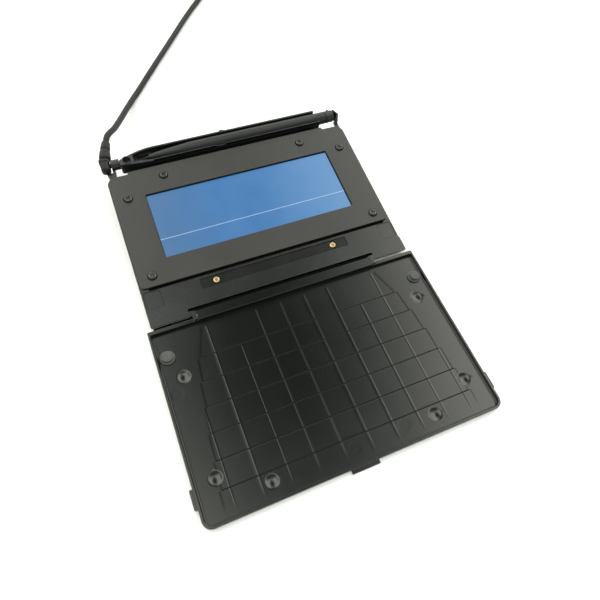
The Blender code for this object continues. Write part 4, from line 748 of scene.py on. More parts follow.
def painted(mesh: Mesh, finish: object) -> Mesh:
    """A mesh whose faces all have one finish."""
    mesh.materials.clear()
    mesh.materials.append(material_for(finish))
    return mesh


_materials: dict[str, Material] = {}


def material_for(finish: object) -> Material:
    """The material of a finish, built the first time it is asked for."""
    if finish.name not in _materials:
        _materials[finish.name] = finish.material()
    return _materials[finish.name]


def dress(name: str, mesh: Mesh, finish: object, body: Body,
          nodes: Sequence[str] = (), place: Matrix = PAD_FRAME, weighted: bool = True) -> Thing:
    """Finish a mesh, put it in place and hand it over as a piece of the object.

    Args:
        name: the piece's name.
        mesh: the mesh in its sub-assembly's own millimetres.
        finish: the finish of its faces, unless it has some already.
        body: the body that it moves with.
        nodes: the solids that it stands for.
        place: the frame of its sub-assembly.
        weighted: whether large flat faces decide the shading of their borders.

    Returns:
        The piece.
    """
    if not mesh.materials:
        mesh.materials.append(material_for(finish))
    mesh.shade_smooth()
    mesh.set_sharp_from_angle(angle=math.radians(SHARP_DEGREES))
    mesh.transform(place)
    if weighted:
        piece = bench("piece", mesh)
        normals = piece.modifiers.new("normals", "WEIGHTED_NORMAL")
        normals.keep_sharp = True
        mesh = settled(piece)
    mesh.name = name
    piece = bench(name, mesh)
    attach(piece, body.value)
    if nodes:
        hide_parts(*nodes)
    log.info("%s: %d faces on %s, for %s", name, len(mesh.polygons), body.value,
             ", ".join(nodes) or "no node")
    return piece


# Geometry Nodes trees

def build_set_out(wiring: Wiring, given: Node, put: Node) -> None:
    """Sets a piece on each place, turned by a random angle about its own axis."""
    piece = wiring.add("GeometryNodeObjectInfo", {"Object": given.outputs["Piece"]})
    turn = wiring.add("FunctionNodeRandomValue", {2: 0.0, 3: given.outputs["Turn Range"],
                                                  8: given.outputs["Seed"]}, data_type="FLOAT")
    angle = wiring.add("ShaderNodeCombineXYZ", {2: turn.outputs[1]})
    copies = wiring.add("GeometryNodeInstanceOnPoints", {
        "Points": given.outputs["Places"], "Instance": piece.outputs["Geometry"],
        "Rotation": angle.outputs[0]})
    wiring.finish_geometry(put, copies.outputs[0], given.outputs["Finish"])


def build_ridged_sleeve(wiring: Wiring, given: Node, put: Node) -> None:
    """A tapered sleeve along a path, with rounded ridges round it at an even spacing."""
    path = wiring.add("GeometryNodeMeshToCurve", {"Mesh": given.outputs["Path"]})
    along = wiring.add("GeometryNodeSplineParameter").outputs["Factor"]
    step = wiring.minus(given.outputs["End Radius"], given.outputs["Root Radius"])
    taper = wiring.scaled(along, step, given.outputs["Root Radius"])
    phase = wiring.times(wiring.times(along, given.outputs["Ridges"]), math.tau)
    wave = wiring.scaled(wiring.math("COSINE", phase), 0.5, 0.5)
    wave = wiring.math("POWER", wave, given.outputs["Groove Sharpness"])
    radius = wiring.minus(taper, wiring.times(wave, given.outputs["Ridge Depth"]))
    profile = wiring.add("GeometryNodeCurvePrimitiveCircle", {
        "Resolution": given.outputs["Sides"], "Radius": 1.0}, mode="RADIUS")
    sleeve = wiring.add("GeometryNodeCurveToMesh", {
        "Curve": path.outputs[0], "Profile Curve": profile.outputs["Curve"], "Scale": radius,
        "Fill Caps": True})
    wiring.finish_geometry(put, sleeve.outputs[0], given.outputs["Finish"])


SET_OUT = node_group(GEOMETRY_NODES, "set_out_copies", {
    "Places": GEOMETRY, "Piece": "NodeSocketObject", "Turn Range": FLOAT,
    "Seed": "NodeSocketInt", "Finish": "NodeSocketMaterial"}, {"Copies": GEOMETRY}, build_set_out)
RIDGED_SLEEVE = node_group(GEOMETRY_NODES, "ridged_sleeve", {
    "Path": GEOMETRY, "Root Radius": FLOAT, "End Radius": FLOAT, "Ridge Depth": FLOAT,
    "Ridges": FLOAT, "Groove Sharpness": FLOAT, "Sides": "NodeSocketInt",
    "Finish": "NodeSocketMaterial"}, {"Sleeve": GEOMETRY}, build_ridged_sleeve)


def grown(tree: Tree, start: Mesh, **values: object) -> Mesh:
    """The plain mesh that a Geometry Nodes tree makes of a starting mesh.

    Args:
        tree: the tree.
        start: the mesh that goes in.
        values: the tree's inputs, by name with _ for a space.

    Returns:
        The finished mesh.
    """
    host = bench("host", start)
    modifier = host.modifiers.new(tree.name, "NODES")
    modifier.node_group = tree
    named = {name.replace("_", " ").lower(): value for name, value in values.items()}
    for socket in tree.interface.items_tree:
        if socket.in_out == "INPUT" and socket.name.lower() in named:
            modifier[socket.identifier] = named[socket.name.lower()]
    return settled(host)


def points_mesh(places: Iterable[Sequence[float]], joined: bool = False) -> Mesh:
    """A mesh of bare points, joined into one line if asked."""
    spots = [tuple(spot) + (0.0,) * (3 - len(spot)) for spot in places]
    lines = [(i, i + 1) for i in range(len(spots) - 1)] if joined else []
    mesh = bpy.data.meshes.new("points")
    mesh.from_pydata(spots, lines, [])
    return mesh


def copies(master: Mesh, places: Iterable[Sequence[float]], finish: object,
           turn_range: float = 0.0, seed: int = 0) -> Mesh:
    """One mesh with a copy of a piece at each place."""
    piece = bench("master", master)
    mesh = grown(SET_OUT, points_mesh(places), Piece=piece, Turn_Range=turn_range, Seed=seed,
                 Finish=material_for(finish))
    bpy.data.objects.remove(piece)
    return mesh


# Cable

@dataclass
class CoiledCable:
    """The cable: down from the pad, along the table, and wound into a coil with its plug."""

    radius: float = 0.0020
    spacing: float = 0.0020
    exit: Place = (-0.07510, 0.13011, 0.01761)
    run: tuple[Place, ...] = (
        (-0.07510, 0.13011, 0.01761), (-0.07370, 0.13410, 0.01765),
        (-0.07110, 0.13870, 0.01650), (-0.06750, 0.14500, 0.01370),
        (-0.06210, 0.15670, 0.00960), (-0.05490, 0.17220, 0.00500),
        (-0.04820, 0.18410, 0.00260), (-0.04180, 0.19290, 0.00215),
        (-0.03000, 0.20900, 0.00215), (-0.01720, 0.22610, 0.00215),
        (0.00000, 0.24900, 0.00215), (0.01140, 0.26440, 0.00215),
        (0.02290, 0.27920, 0.00215), (0.03300, 0.29120, 0.00215),
        (0.04120, 0.30160, 0.00255), (0.04826, 0.31098, 0.00315),
        (0.05032, 0.31440, 0.00320),
    )
    tail: tuple[Place, ...] = (
        (0.04609, 0.36279, 0.01670), (0.04346, 0.36580, 0.01665),
        (0.03760, 0.37030, 0.01500), (0.03000, 0.37320, 0.01130),
        (0.02200, 0.37382, 0.00730), (0.01450, 0.37250, 0.00480),
        (0.00830, 0.37010, 0.00410), (0.00430, 0.36900, 0.00400),
    )
    coil_place: Point = (0.0300, 0.3370)
    turns: float = 10.25
    layers: int = 4
    middle_radius: float = 0.0236
    pitch: float = 0.00455
    layer_step: float = 0.0045
    underside: float = 0.0012
    start_degrees: float = -40.0
    climb_turns: float = 0.5
    points_a_turn: int = 48
    length: float = 1.8

    @property
    def turns_in_layer(self) -> float:
        """Turns of the coil in each of its layers."""
        return self.turns / self.layers

    def coil_level(self, turn: float) -> float:
        """Height of the cable's middle after so many turns: one layer up at each reversal."""
        level = self.underside + self.radius
        for layer in range(1, self.layers):
            start = layer * self.turns_in_layer - self.climb_turns / 2
            level += self.layer_step * min(max((turn - start) / self.climb_turns, 0.0), 1.0)
        return level

    def coil_radius(self, turn: float) -> float:
        """Radius after so many turns: inwards in one layer and outwards in the next."""
        layer = min(int(turn / self.turns_in_layer), self.layers - 1)
        along = turn - layer * self.turns_in_layer
        inwards = along if layer % 2 == 0 else self.turns_in_layer - along
        return self.middle_radius + self.pitch * (self.turns_in_layer / 2 - inwards)

    def coil(self) -> list[Vector]:
        """The coil's middle line."""
        path = []
        for step in range(round(self.turns * self.points_a_turn) + 1):
            turn = step / self.points_a_turn
            angle = math.radians(self.start_degrees) + math.tau * turn
            radius = self.coil_radius(turn)
            path.append(Vector((self.coil_place[0] + radius * math.cos(angle),
                                self.coil_place[1] + radius * math.sin(angle),
                                self.coil_level(turn))))
        return path

    def smooth(self, route: Sequence[Sequence[float]]) -> list[Vector]:
        """Points of one smooth curve through a route."""
        spots = [Vector(spot) for spot in route]
        ends = [2 * spots[0] - spots[1], *spots, 2 * spots[-1] - spots[-2]]
        path = []
        for before, start, end, after in zip(ends, ends[1:], ends[2:], ends[3:]):
            steps = max(1, round((end - start).length / self.spacing))
            for step in range(steps):
                t = step / steps
                path.append((2 * start + (end - before) * t
                             + (2 * before - 5 * start + 4 * end - after) * t ** 2
                             + (3 * start - before - 3 * end + after) * t ** 3) / 2)
        path.append(spots[-1])
        return path

    def build(self, with_pieces: Sequence[Thing]) -> Thing:
        """Args:
            with_pieces: the pieces on the cable; not used.

        Returns:
            The cable.
        """
        path = self.smooth(self.run) + self.coil() + self.smooth(self.tail)
        curve = bpy.data.curves.new("cable", "CURVE")
        curve.dimensions = "3D"
        curve.bevel_depth = self.radius
        curve.bevel_resolution = 4
        curve.use_fill_caps = True
        spline = curve.splines.new("POLY")
        spline.points.add(len(path) - 1)
        for point, spot in zip(spline.points, path):
            point.co = (*spot, 1.0)
        spline.use_smooth = True
        curve.materials.append(material_for(JACKET))
        cable = bench("cable", curve)
        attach(cable, Body.PAD.value)
        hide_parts("cable_run", "cable_coil", "cable_tail")
        measured = sum((b - a).length for a, b in zip(path, path[1:]))
        log.info("cable: %.4f m along its middle", measured)
        return cable


@dataclass
class CoilBand:
    """Strap round one side of the coil."""

    cable: CoiledCable
    width: float = 5.0
    thickness: float = 0.9
    clearance: float = 0.8
    corner: float = 1.2
    gap: float = 0.3

    def build(self) -> Thing:
        """Make the strap, square to the coil."""
        cable = self.cable
        spread = (cable.pitch * cable.turns_in_layer / 2 + cable.radius) / MM + self.clearance
        middle = cable.middle_radius / MM
        top = (cable.coil_level(cable.turns) + cable.radius) / MM + self.gap
        inner = (middle - spread, middle + spread)
        outer = (inner[0] - self.thickness, inner[1] + self.thickness)
        band = plate(
            rectangle(outer, (0.0, top + self.thickness), self.corner + self.thickness),
            -self.width / 2, self.width / 2, 0.2,
            [rectangle(inner, (self.thickness, top), self.corner)],
        )
        place = (Matrix.Translation((*cable.coil_place, 0.0)) @ TABLE_FRAME
                 @ Matrix.Rotation(math.pi, 4, "Z") @ Matrix.Rotation(math.pi / 2, 4, "X"))
        return dress("coil_band", band, RUBBER, Body.PAD, ["coil_tie"], place)


@dataclass
class Plug:
    """The plug on the far end: a moulded grip and a folded steel shell."""

    place: Place = (0.0040, 0.36892, 0.0040)
    degrees: float = 194.0
    grip_length: float = 22.0
    grip_width: float = 15.0
    grip_height: float = 7.8
    shell_gap: float = 0.3
    shell_length: float = 15.0
    shell_width: float = 12.0
    shell_height: float = 4.5
    shell_wall: float = 0.4
    mouth_depth: float = 10.0
    tongue: float = 1.8

    def frame(self) -> Matrix:
        """The plug's own frame: X out of the grip towards the shell."""
        return (Matrix.Translation(self.place)
                @ Matrix.Rotation(math.radians(self.degrees), 4, "Z") @ TABLE_FRAME)

    def build_grip(self) -> Thing:
        """Grip with finger grooves across both faces and a drawn-in back."""
        half = self.grip_width / 2
        outline = filleted([
            (0.0, -half + 3.4), (5.0, -half), (self.grip_length, -half),
            (self.grip_length, half), (5.0, half), (0.0, half - 3.4),
        ], (1.6, 5.0, 1.0, 1.0, 5.0, 1.6))
        grip = plate(outline, -self.grip_height / 2, self.grip_height / 2, 1.3, edge_steps=4)
        grooves = []
        for count in range(5):
            spot = 7.0 + 2.1 * count
            for side in (-1, 1):
                bar = plate(rectangle((spot - 0.5, spot + 0.5), around(9.0), 0.49),
                            self.grip_height / 2 - 0.35, self.grip_height / 2 + OVERRUN)
                grooves.append(bar if side > 0 else turned(bar, 180.0, "X"))
        grip = softened(carve(grip, grooves, RUBBER), 0.12, 1)
        return dress("plug_grip", grip, RUBBER, Body.PAD, ["usb_grip"], self.frame())

    def build_shell(self) -> Thing:
        """Shell with its mouth, the white tongue's place and two spring windows on each face."""
        start = self.grip_length + self.shell_gap
        end = start + self.shell_length
        half = self.shell_height / 2
        outline = rectangle(around(self.shell_width), around(self.shell_height), 0.45)
        shell = laid_across(plate(outline, start, end, 0.1))
        inside = half - self.shell_wall
        mouth = plate(rectangle((end - self.mouth_depth, end + OVERRUN),
                                around(self.shell_width, -self.shell_wall)),
                      inside - self.tongue, inside)
        windows = [
            plate(rectangle((end - 7.6, end - 5.2), (y - 1.1, y + 1.1), 0.25),
                  side * half - 0.25, side * half + 0.25)
            for y in (-2.9, 2.9) for side in (-1, 1)
        ]
        # The spring windows are shallow pockets painted near-black: painted shade of the openings
        shell = carve(shell, [mouth, *(painted(window, SHADOW) for window in windows)], NICKEL)
        return dress("plug_shell", shell, NICKEL, Body.PAD, ["usb_shell"],
                     self.frame())


# Cover

def smooth_step(value: np.ndarray) -> np.ndarray:
    """A smooth rise from 0 to 1 while the value goes from 0 to 1."""
    t = np.clip(value, 0.0, 1.0)
    return t * t * (3.0 - 2.0 * t)


def grid_lines(span: Span, coarse: float, zones: Iterable[Place]) -> np.ndarray:
    """Places of the lines of a grid: evenly coarse, with finer spans.

    Args:
        span: the first and last line.
        coarse: the usual distance.
        zones: start, end and distance of each finer span, the later ones on top.

    Returns:
        The places in rising order.
    """
    count = max(1, round((span[1] - span[0]) / coarse))
    lines = {round(span[0] + (span[1] - span[0]) * i / count, 4) for i in range(count + 1)}
    for start, end, step in zones:
        start, end = max(start, span[0]), min(end, span[1])
        lines = {line for line in lines if not start - step / 2 < line < end + step / 2}
        parts = max(1, math.ceil((end - start) / step))
        lines |= {round(start + (end - start) * i / parts, 4) for i in range(parts + 1)}
    return np.array(sorted(lines | {round(span[0], 4), round(span[1], 4)}))


@dataclass
class HingedCover:
    """The cover, open on the table: a shallow pan with a ribbed floor, tabs and bumpers."""

    width: float = 169.4
    reach: float = 109.55
    hinge_edge: float = 0.95
    bottom: float = -4.35
    floor: float = -2.15
    rim_top: float = 0.25
    side_rim: float = 1.2
    free_rim: float = 1.2
    hinge_rim: float = 2.3
    free_corner: float = 5.0
    hinge_corner: float = 0.8
    edge: float = 0.35
    pocket: float = -3.95
    panel_lap: float = 0.3
    grid_start: float = 7.0
    grid_end: float = 107.35
    hinge_half_width: float = 55.5
    free_half_width: float = 74.2
    flare: float = 0.55
    outline_softness: float = 0.5
    cove: float = 1.0
    cell_depth: float = 0.045
    first_row: float = 17.2
    row_pitch: float = 14.05
    column_pitch: float = 15.07
    length_rib: float = 0.2
    cross_rib: float = 0.40
    steep_flank: float = 0.18
    sloped_flank: float = 1.05
    jog: float = 1.3
    fade_start: float = 97.0
    dimple_radius: float = 3.6
    dimple_depth: float = 0.9
    disc_radius: float = 3.7
    disc_depth: float = 0.02
    disc_edge: float = 0.9
    discs: tuple[Point, ...] = ((-78.4, 40.3), (27.9, 98.8), (-2.1, 99.9), (-37.7, 105.6))
    dimples: tuple[Point, ...] = ((72.6, 31.9), (72.6, 87.9), (47.2, 99.5))
    barrel_length: float = 111.2
    barrel_radius: float = 2.75
    barrel_flat: float = 1.35
    barrel_end_edge: float = 0.15
    bore_radius: float = 1.05
    bumper_x: float = 78.0
    bumper_y: float = -18.55
    bumper_top: float = 0.45
    latch_width: float = 16.0
    latch_length: float = 2.0
    latch_height: float = 1.1
    side_tab_length: float = 10.0
    side_tab_reach: float = 1.7
    side_tab_height: float = 3.1
    side_tab_set: float = 10.8
    tab_root: float = 3.0
    ear_room: Span = (55.6, 58.6)
    last_ribs: tuple[Point, ...] = ((0.0, 10.0), (45.0, 8.0))
    flank_zones: tuple[Span, ...] = ((54.5, 76.4), (43.4, 51.0))
    far_zones: tuple[Span, ...] = ((36.6, 44.0), (94.9, 107.0))

    def build(self) -> None:
        """Make the cover's pieces."""
        self.build_pan()
        self.build_panel()
        self.build_bumpers()

    def build_pan(self) -> Thing:
        """Rim, underside, tabs and hinge barrel, with a pocket for the ribbed floor."""
        outline = rectangle(around(self.width), (-self.reach, -self.hinge_edge),
                            self.free_corner, self.hinge_corner)
        pan = plate(outline, self.bottom, self.rim_top, self.edge)
        inner = rectangle(
            around(self.width, -self.side_rim),
            (-self.reach + self.free_rim, -self.hinge_edge - self.hinge_rim),
            self.free_corner - self.free_rim, self.hinge_corner,
        )
        latch = plate(
            rectangle(around(self.latch_width),
                      (-self.reach - self.latch_length, -self.reach + self.tab_root), 0.5),
            self.bottom, self.bottom + self.latch_height, 0.25,
        )
        tab_near = -self.reach + self.side_tab_set
        tab_start = self.width / 2 + self.side_tab_reach - self.tab_root
        tabs = [
            plate(rectangle(mirrored((tab_start, tab_start + self.tab_root), side),
                            (tab_near, tab_near + self.side_tab_length), 0.5),
                  self.bottom, self.bottom + self.side_tab_height, 0.25)
            for side in (-1, 1)
        ]
        pan = carve(pan, [latch, *tabs, self.barrel(), self.hinge_band()], COVER, "UNION")
        bore = cross_rod(around(self.barrel_length, OVERRUN), 0.0, 0.0, self.bore_radius)
        ear_rooms = [
            plate(rectangle(mirrored(self.ear_room, side), (-self.barrel_radius - 0.1, OVERRUN)),
                  self.bottom - OVERRUN, self.rim_top + OVERRUN)
            for side in (1, -1)
        ]
        pocket = plate(inner, self.pocket, self.rim_top + OVERRUN)
        pan = carve(pan, [pocket, bore, *ear_rooms], COVER)
        return dress("cover_pan", pan, COVER, Body.COVER, ["cover_shell"], COVER_FRAME)

    def barrel(self, span: Optional[Span] = None) -> Mesh:
        """The hinge barrel, a rod shaved flat on top, or a piece of the same section."""
        half = math.sqrt(self.barrel_radius ** 2 - self.barrel_flat ** 2)
        angle = math.degrees(math.atan2(self.barrel_flat, half))
        sweep = 180.0 + 2.0 * angle
        count = 30
        points = [
            (self.barrel_radius * math.cos(math.radians(angle - sweep * i / count)),
             self.barrel_radius * math.sin(math.radians(angle - sweep * i / count)))
            for i in range(count + 1)
        ]
        low, high = around(self.barrel_length) if span is None else span
        solid = plate(points, low, high, self.barrel_end_edge)
        return laid_across(solid)

    def hinge_band(self) -> Mesh:
        """The flat band that joins the barrel's top to the rim behind the ribbed floor."""
        section = filleted([(-self.hinge_edge - self.hinge_rim, self.bottom + 1.0),
                            (-self.hinge_edge - self.hinge_rim, self.barrel_flat),
                            (0.0, self.barrel_flat), (0.0, self.bottom + 1.0)], (0.0, 0.4, 0.0, 0.0))
        solid = plate(section, *around(self.barrel_length), self.barrel_end_edge)
        return laid_across(solid)

    def flared(self, away: np.ndarray) -> np.ndarray:
        """Half the ribbed panel's width at each distance from the hinge, without its jogs."""
        share = np.clip((away - self.grid_start) / (self.grid_end - self.grid_start), 0.0, 1.0)
        widening = self.free_half_width - self.hinge_half_width
        return self.hinge_half_width + widening * share ** self.flare

    def half_width(self, away: np.ndarray) -> np.ndarray:
        """Half the panel's width: a straight slant in each row, with a jog outwards after it."""
        rows = np.array([self.grid_start, *self.rib_rows(), self.grid_end])
        row = np.clip(np.searchsorted(rows, away, side="right") - 1, 0, len(rows) - 2)
        share = (away - rows[row]) / (rows[row + 1] - rows[row])
        near, far = self.flared(rows[row]), self.flared(rows[row + 1])
        return near + (far - self.jog - near) * share

    def rib_columns(self) -> list[float]:
        """Places of the ribs that run away from the hinge."""
        return [sign * (i + 0.5) * self.column_pitch for i in range(5) for sign in (-1, 1)]

    def rib_rows(self) -> list[float]:
        """Distances from the hinge of the ribs that run across."""
        rows = [self.grid_start + self.first_row]
        while rows[-1] + self.row_pitch < self.grid_end:
            rows.append(rows[-1] + self.row_pitch)
        return rows

    def length_ridge(self, off: np.ndarray) -> np.ndarray:
        """Height share of a rib that runs away from the hinge: steep left, sloped right."""
        rise = smooth_step((off + self.length_rib / 2) / self.steep_flank)
        fall = smooth_step((self.length_rib / 2 + self.sloped_flank - off) / self.sloped_flank)
        return np.minimum(rise, fall)

    def cross_ridge(self, off: np.ndarray) -> np.ndarray:
        """Height share of a rib that runs across."""
        return smooth_step((self.cross_rib / 2 + self.steep_flank - np.abs(off)) / self.steep_flank)

    def relief(self, x: np.ndarray, away: np.ndarray) -> np.ndarray:
        """Height of the cover's floor at each place, above or below its plain level."""
        side = self.half_width(away) - np.abs(x)
        inside = np.minimum(side, away - self.grid_start)
        panel = smooth_step(inside / self.outline_softness + 0.5)
        panel *= 1.0 - smooth_step((away - self.fade_start) / (self.grid_end - self.fade_start))
        ribs = np.zeros_like(x)
        for place in self.rib_columns():
            late = abs(abs(place) - 2.5 * self.column_pitch) < self.length_rib
            shown = smooth_step(away - self.rib_rows()[0]) if late else 1.0
            ribs = np.maximum(ribs, self.length_ridge(x - place) * shown)
        for place in self.rib_rows():
            shown = 1.0
            if place > self.fade_start - self.row_pitch / 2:
                shown = np.max([smooth_step((half - np.abs(x - middle)) / 2.0)
                                for middle, half in self.last_ribs], axis=0)
            ribs = np.maximum(ribs, self.cross_ridge(away - place) * shown)
        height = -self.cell_depth * panel * (1.0 - ribs)
        for place, far in self.discs:
            off = np.hypot(x - place, away - far)
            height -= self.disc_depth * smooth_step((self.disc_radius - off) / self.disc_edge)
        for place, far in self.dimples:
            for sign in (-1, 1):
                off = np.hypot(x - sign * place, away - far) / self.dimple_radius
                cup = np.clip(1.0 - off ** 2, 0.0, 1.0)
                blend = smooth_step((1.05 - off) / 0.10)
                height = height * (1.0 - blend) - self.dimple_depth * cup
        return height

    def build_panel(self) -> Thing:
        """The ribbed floor, as a grid whose points follow the relief."""
        x_span = around(self.width, -self.side_rim + self.panel_lap)
        far = self.reach - self.free_rim + self.panel_lap
        near = self.hinge_edge + self.hinge_rim - self.panel_lap
        steep, sloped = self.length_rib / 2 + 0.05, self.length_rib / 2 + self.sloped_flank + 0.1
        thin = self.cross_rib / 2 + self.steep_flank + 0.05
        x_zones = [(x_span[1] - 1.5, x_span[1], 0.25), (x_span[0], x_span[0] + 1.5, 0.25)]
        x_zones += [(*mirrored(zone, side), 0.4) for zone in self.flank_zones for side in (1, -1)]
        x_zones += [(x - self.disc_radius, x + self.disc_radius, 0.5) for x, _ in self.discs]
        x_zones += [(x - steep, x + sloped, 0.12) for x in self.rib_columns()]
        y_zones = [(self.grid_start - 0.6, self.grid_start + 0.6, 0.2)]
        y_zones += [(y - 3.7, y + 3.7, 0.4) for _, y in self.dimples]
        y_zones += [(*zone, 0.5) for zone in self.far_zones]
        y_zones += [(self.far_zones[-1][1], far, 0.25)]
        y_zones += [(y - thin, y + thin, 0.10) for y in self.rib_rows()]
        xs = grid_lines(x_span, 2.6, x_zones)
        ys = grid_lines((near, far), 1.6, y_zones)
        x, away = np.meshgrid(xs, ys)
        wall_off = np.minimum(x_span[1] - self.panel_lap - np.abs(x), far - self.panel_lap - away)
        rise = self.cove * (1.0 - np.clip(wall_off / self.cove, 0.0, 1.0)) ** 2
        z = self.floor + self.relief(x, away) + rise
        limit = self.free_corner - 0.6
        corner_x = x_span[1] - limit
        corner_y = far - limit
        over_x = np.abs(x) - corner_x
        over_y = away - corner_y
        off = np.hypot(over_x, over_y)
        outside = (over_x > 0) & (over_y > 0) & (off > limit)
        pull = np.where(outside, limit / np.maximum(off, WELD), 1.0)
        x = np.where(pull < 1.0, np.sign(x) * (corner_x + over_x * pull), x)
        away = np.where(pull < 1.0, corner_y + over_y * pull, away)
        rows, columns = x.shape
        work = bmesh.new()
        verts = [
            work.verts.new((x[i, j], -away[i, j], z[i, j]))
            for i in range(rows) for j in range(columns)
        ]
        for i in range(rows - 1):
            for j in range(columns - 1):
                first = i * columns + j
                work.faces.new([verts[first], verts[first + 1], verts[first + columns + 1],
                                verts[first + columns]])
        rim = [edge for edge in work.edges if edge.is_boundary]
        skirt = bmesh.ops.extrude_edge_only(work, edges=rim)["geom"]
        for vert in (item for item in skirt if isinstance(item, bmesh.types.BMVert)):
            vert.co.z = self.pocket
        bmesh.ops.holes_fill(work, edges=[edge for edge in work.edges if edge.is_boundary])
        bmesh.ops.recalc_face_normals(work, faces=work.faces[:])
        mesh = mesh_of(work, "panel")
        self.paint_cross_rib_shade(painted(mesh, COVER))
        return dress("cover_panel", mesh, COVER, Body.COVER, ["cover_shell"],
                     COVER_FRAME, weighted=False)

    def paint_cross_rib_shade(self, mesh: Mesh) -> None:
        """Give the thin ribs that run across a darker, duller copy of the cover's finish: painted
        shade along them.
        """
        mesh.materials.append(material_for(CROSS_RIB_SHADE))
        reach = self.cross_rib / 2 + 0.1
        rows = np.array(self.rib_rows())
        for face in mesh.polygons:
            spot = face.center
            on_rib = np.min(np.abs(-spot.y - rows)) < reach
            inside = abs(spot.x) < float(self.half_width(np.array([-spot.y]))[0])
            if on_rib and inside and -spot.y < self.fade_start:
                face.material_index = 1

    def build_bumpers(self) -> Thing:
        """The two rubber bumpers, round with a flange."""
        seat = self.floor + 0.1
        profile = filleted([
            (0.0, self.bumper_top), (3.1, self.bumper_top), (3.1, seat + 0.8), (4.2, seat + 0.8),
            (4.2, seat), (1.5, seat), (1.5, self.floor - 1.3), (0.0, self.floor - 1.3),
        ], (0, 0.35, 0.2, 0.25, 0.1, 0.1, 0.2, 0), 4, closed=False)
        places = pair(self.bumper_x, self.bumper_y)
        mesh = copies(lathe(profile), places, RUBBER)
        return dress("cover_bumpers", mesh, RUBBER, Body.COVER,
                     ["cover_bumper_1", "cover_bumper_2"], COVER_FRAME, weighted=False)


# Pad

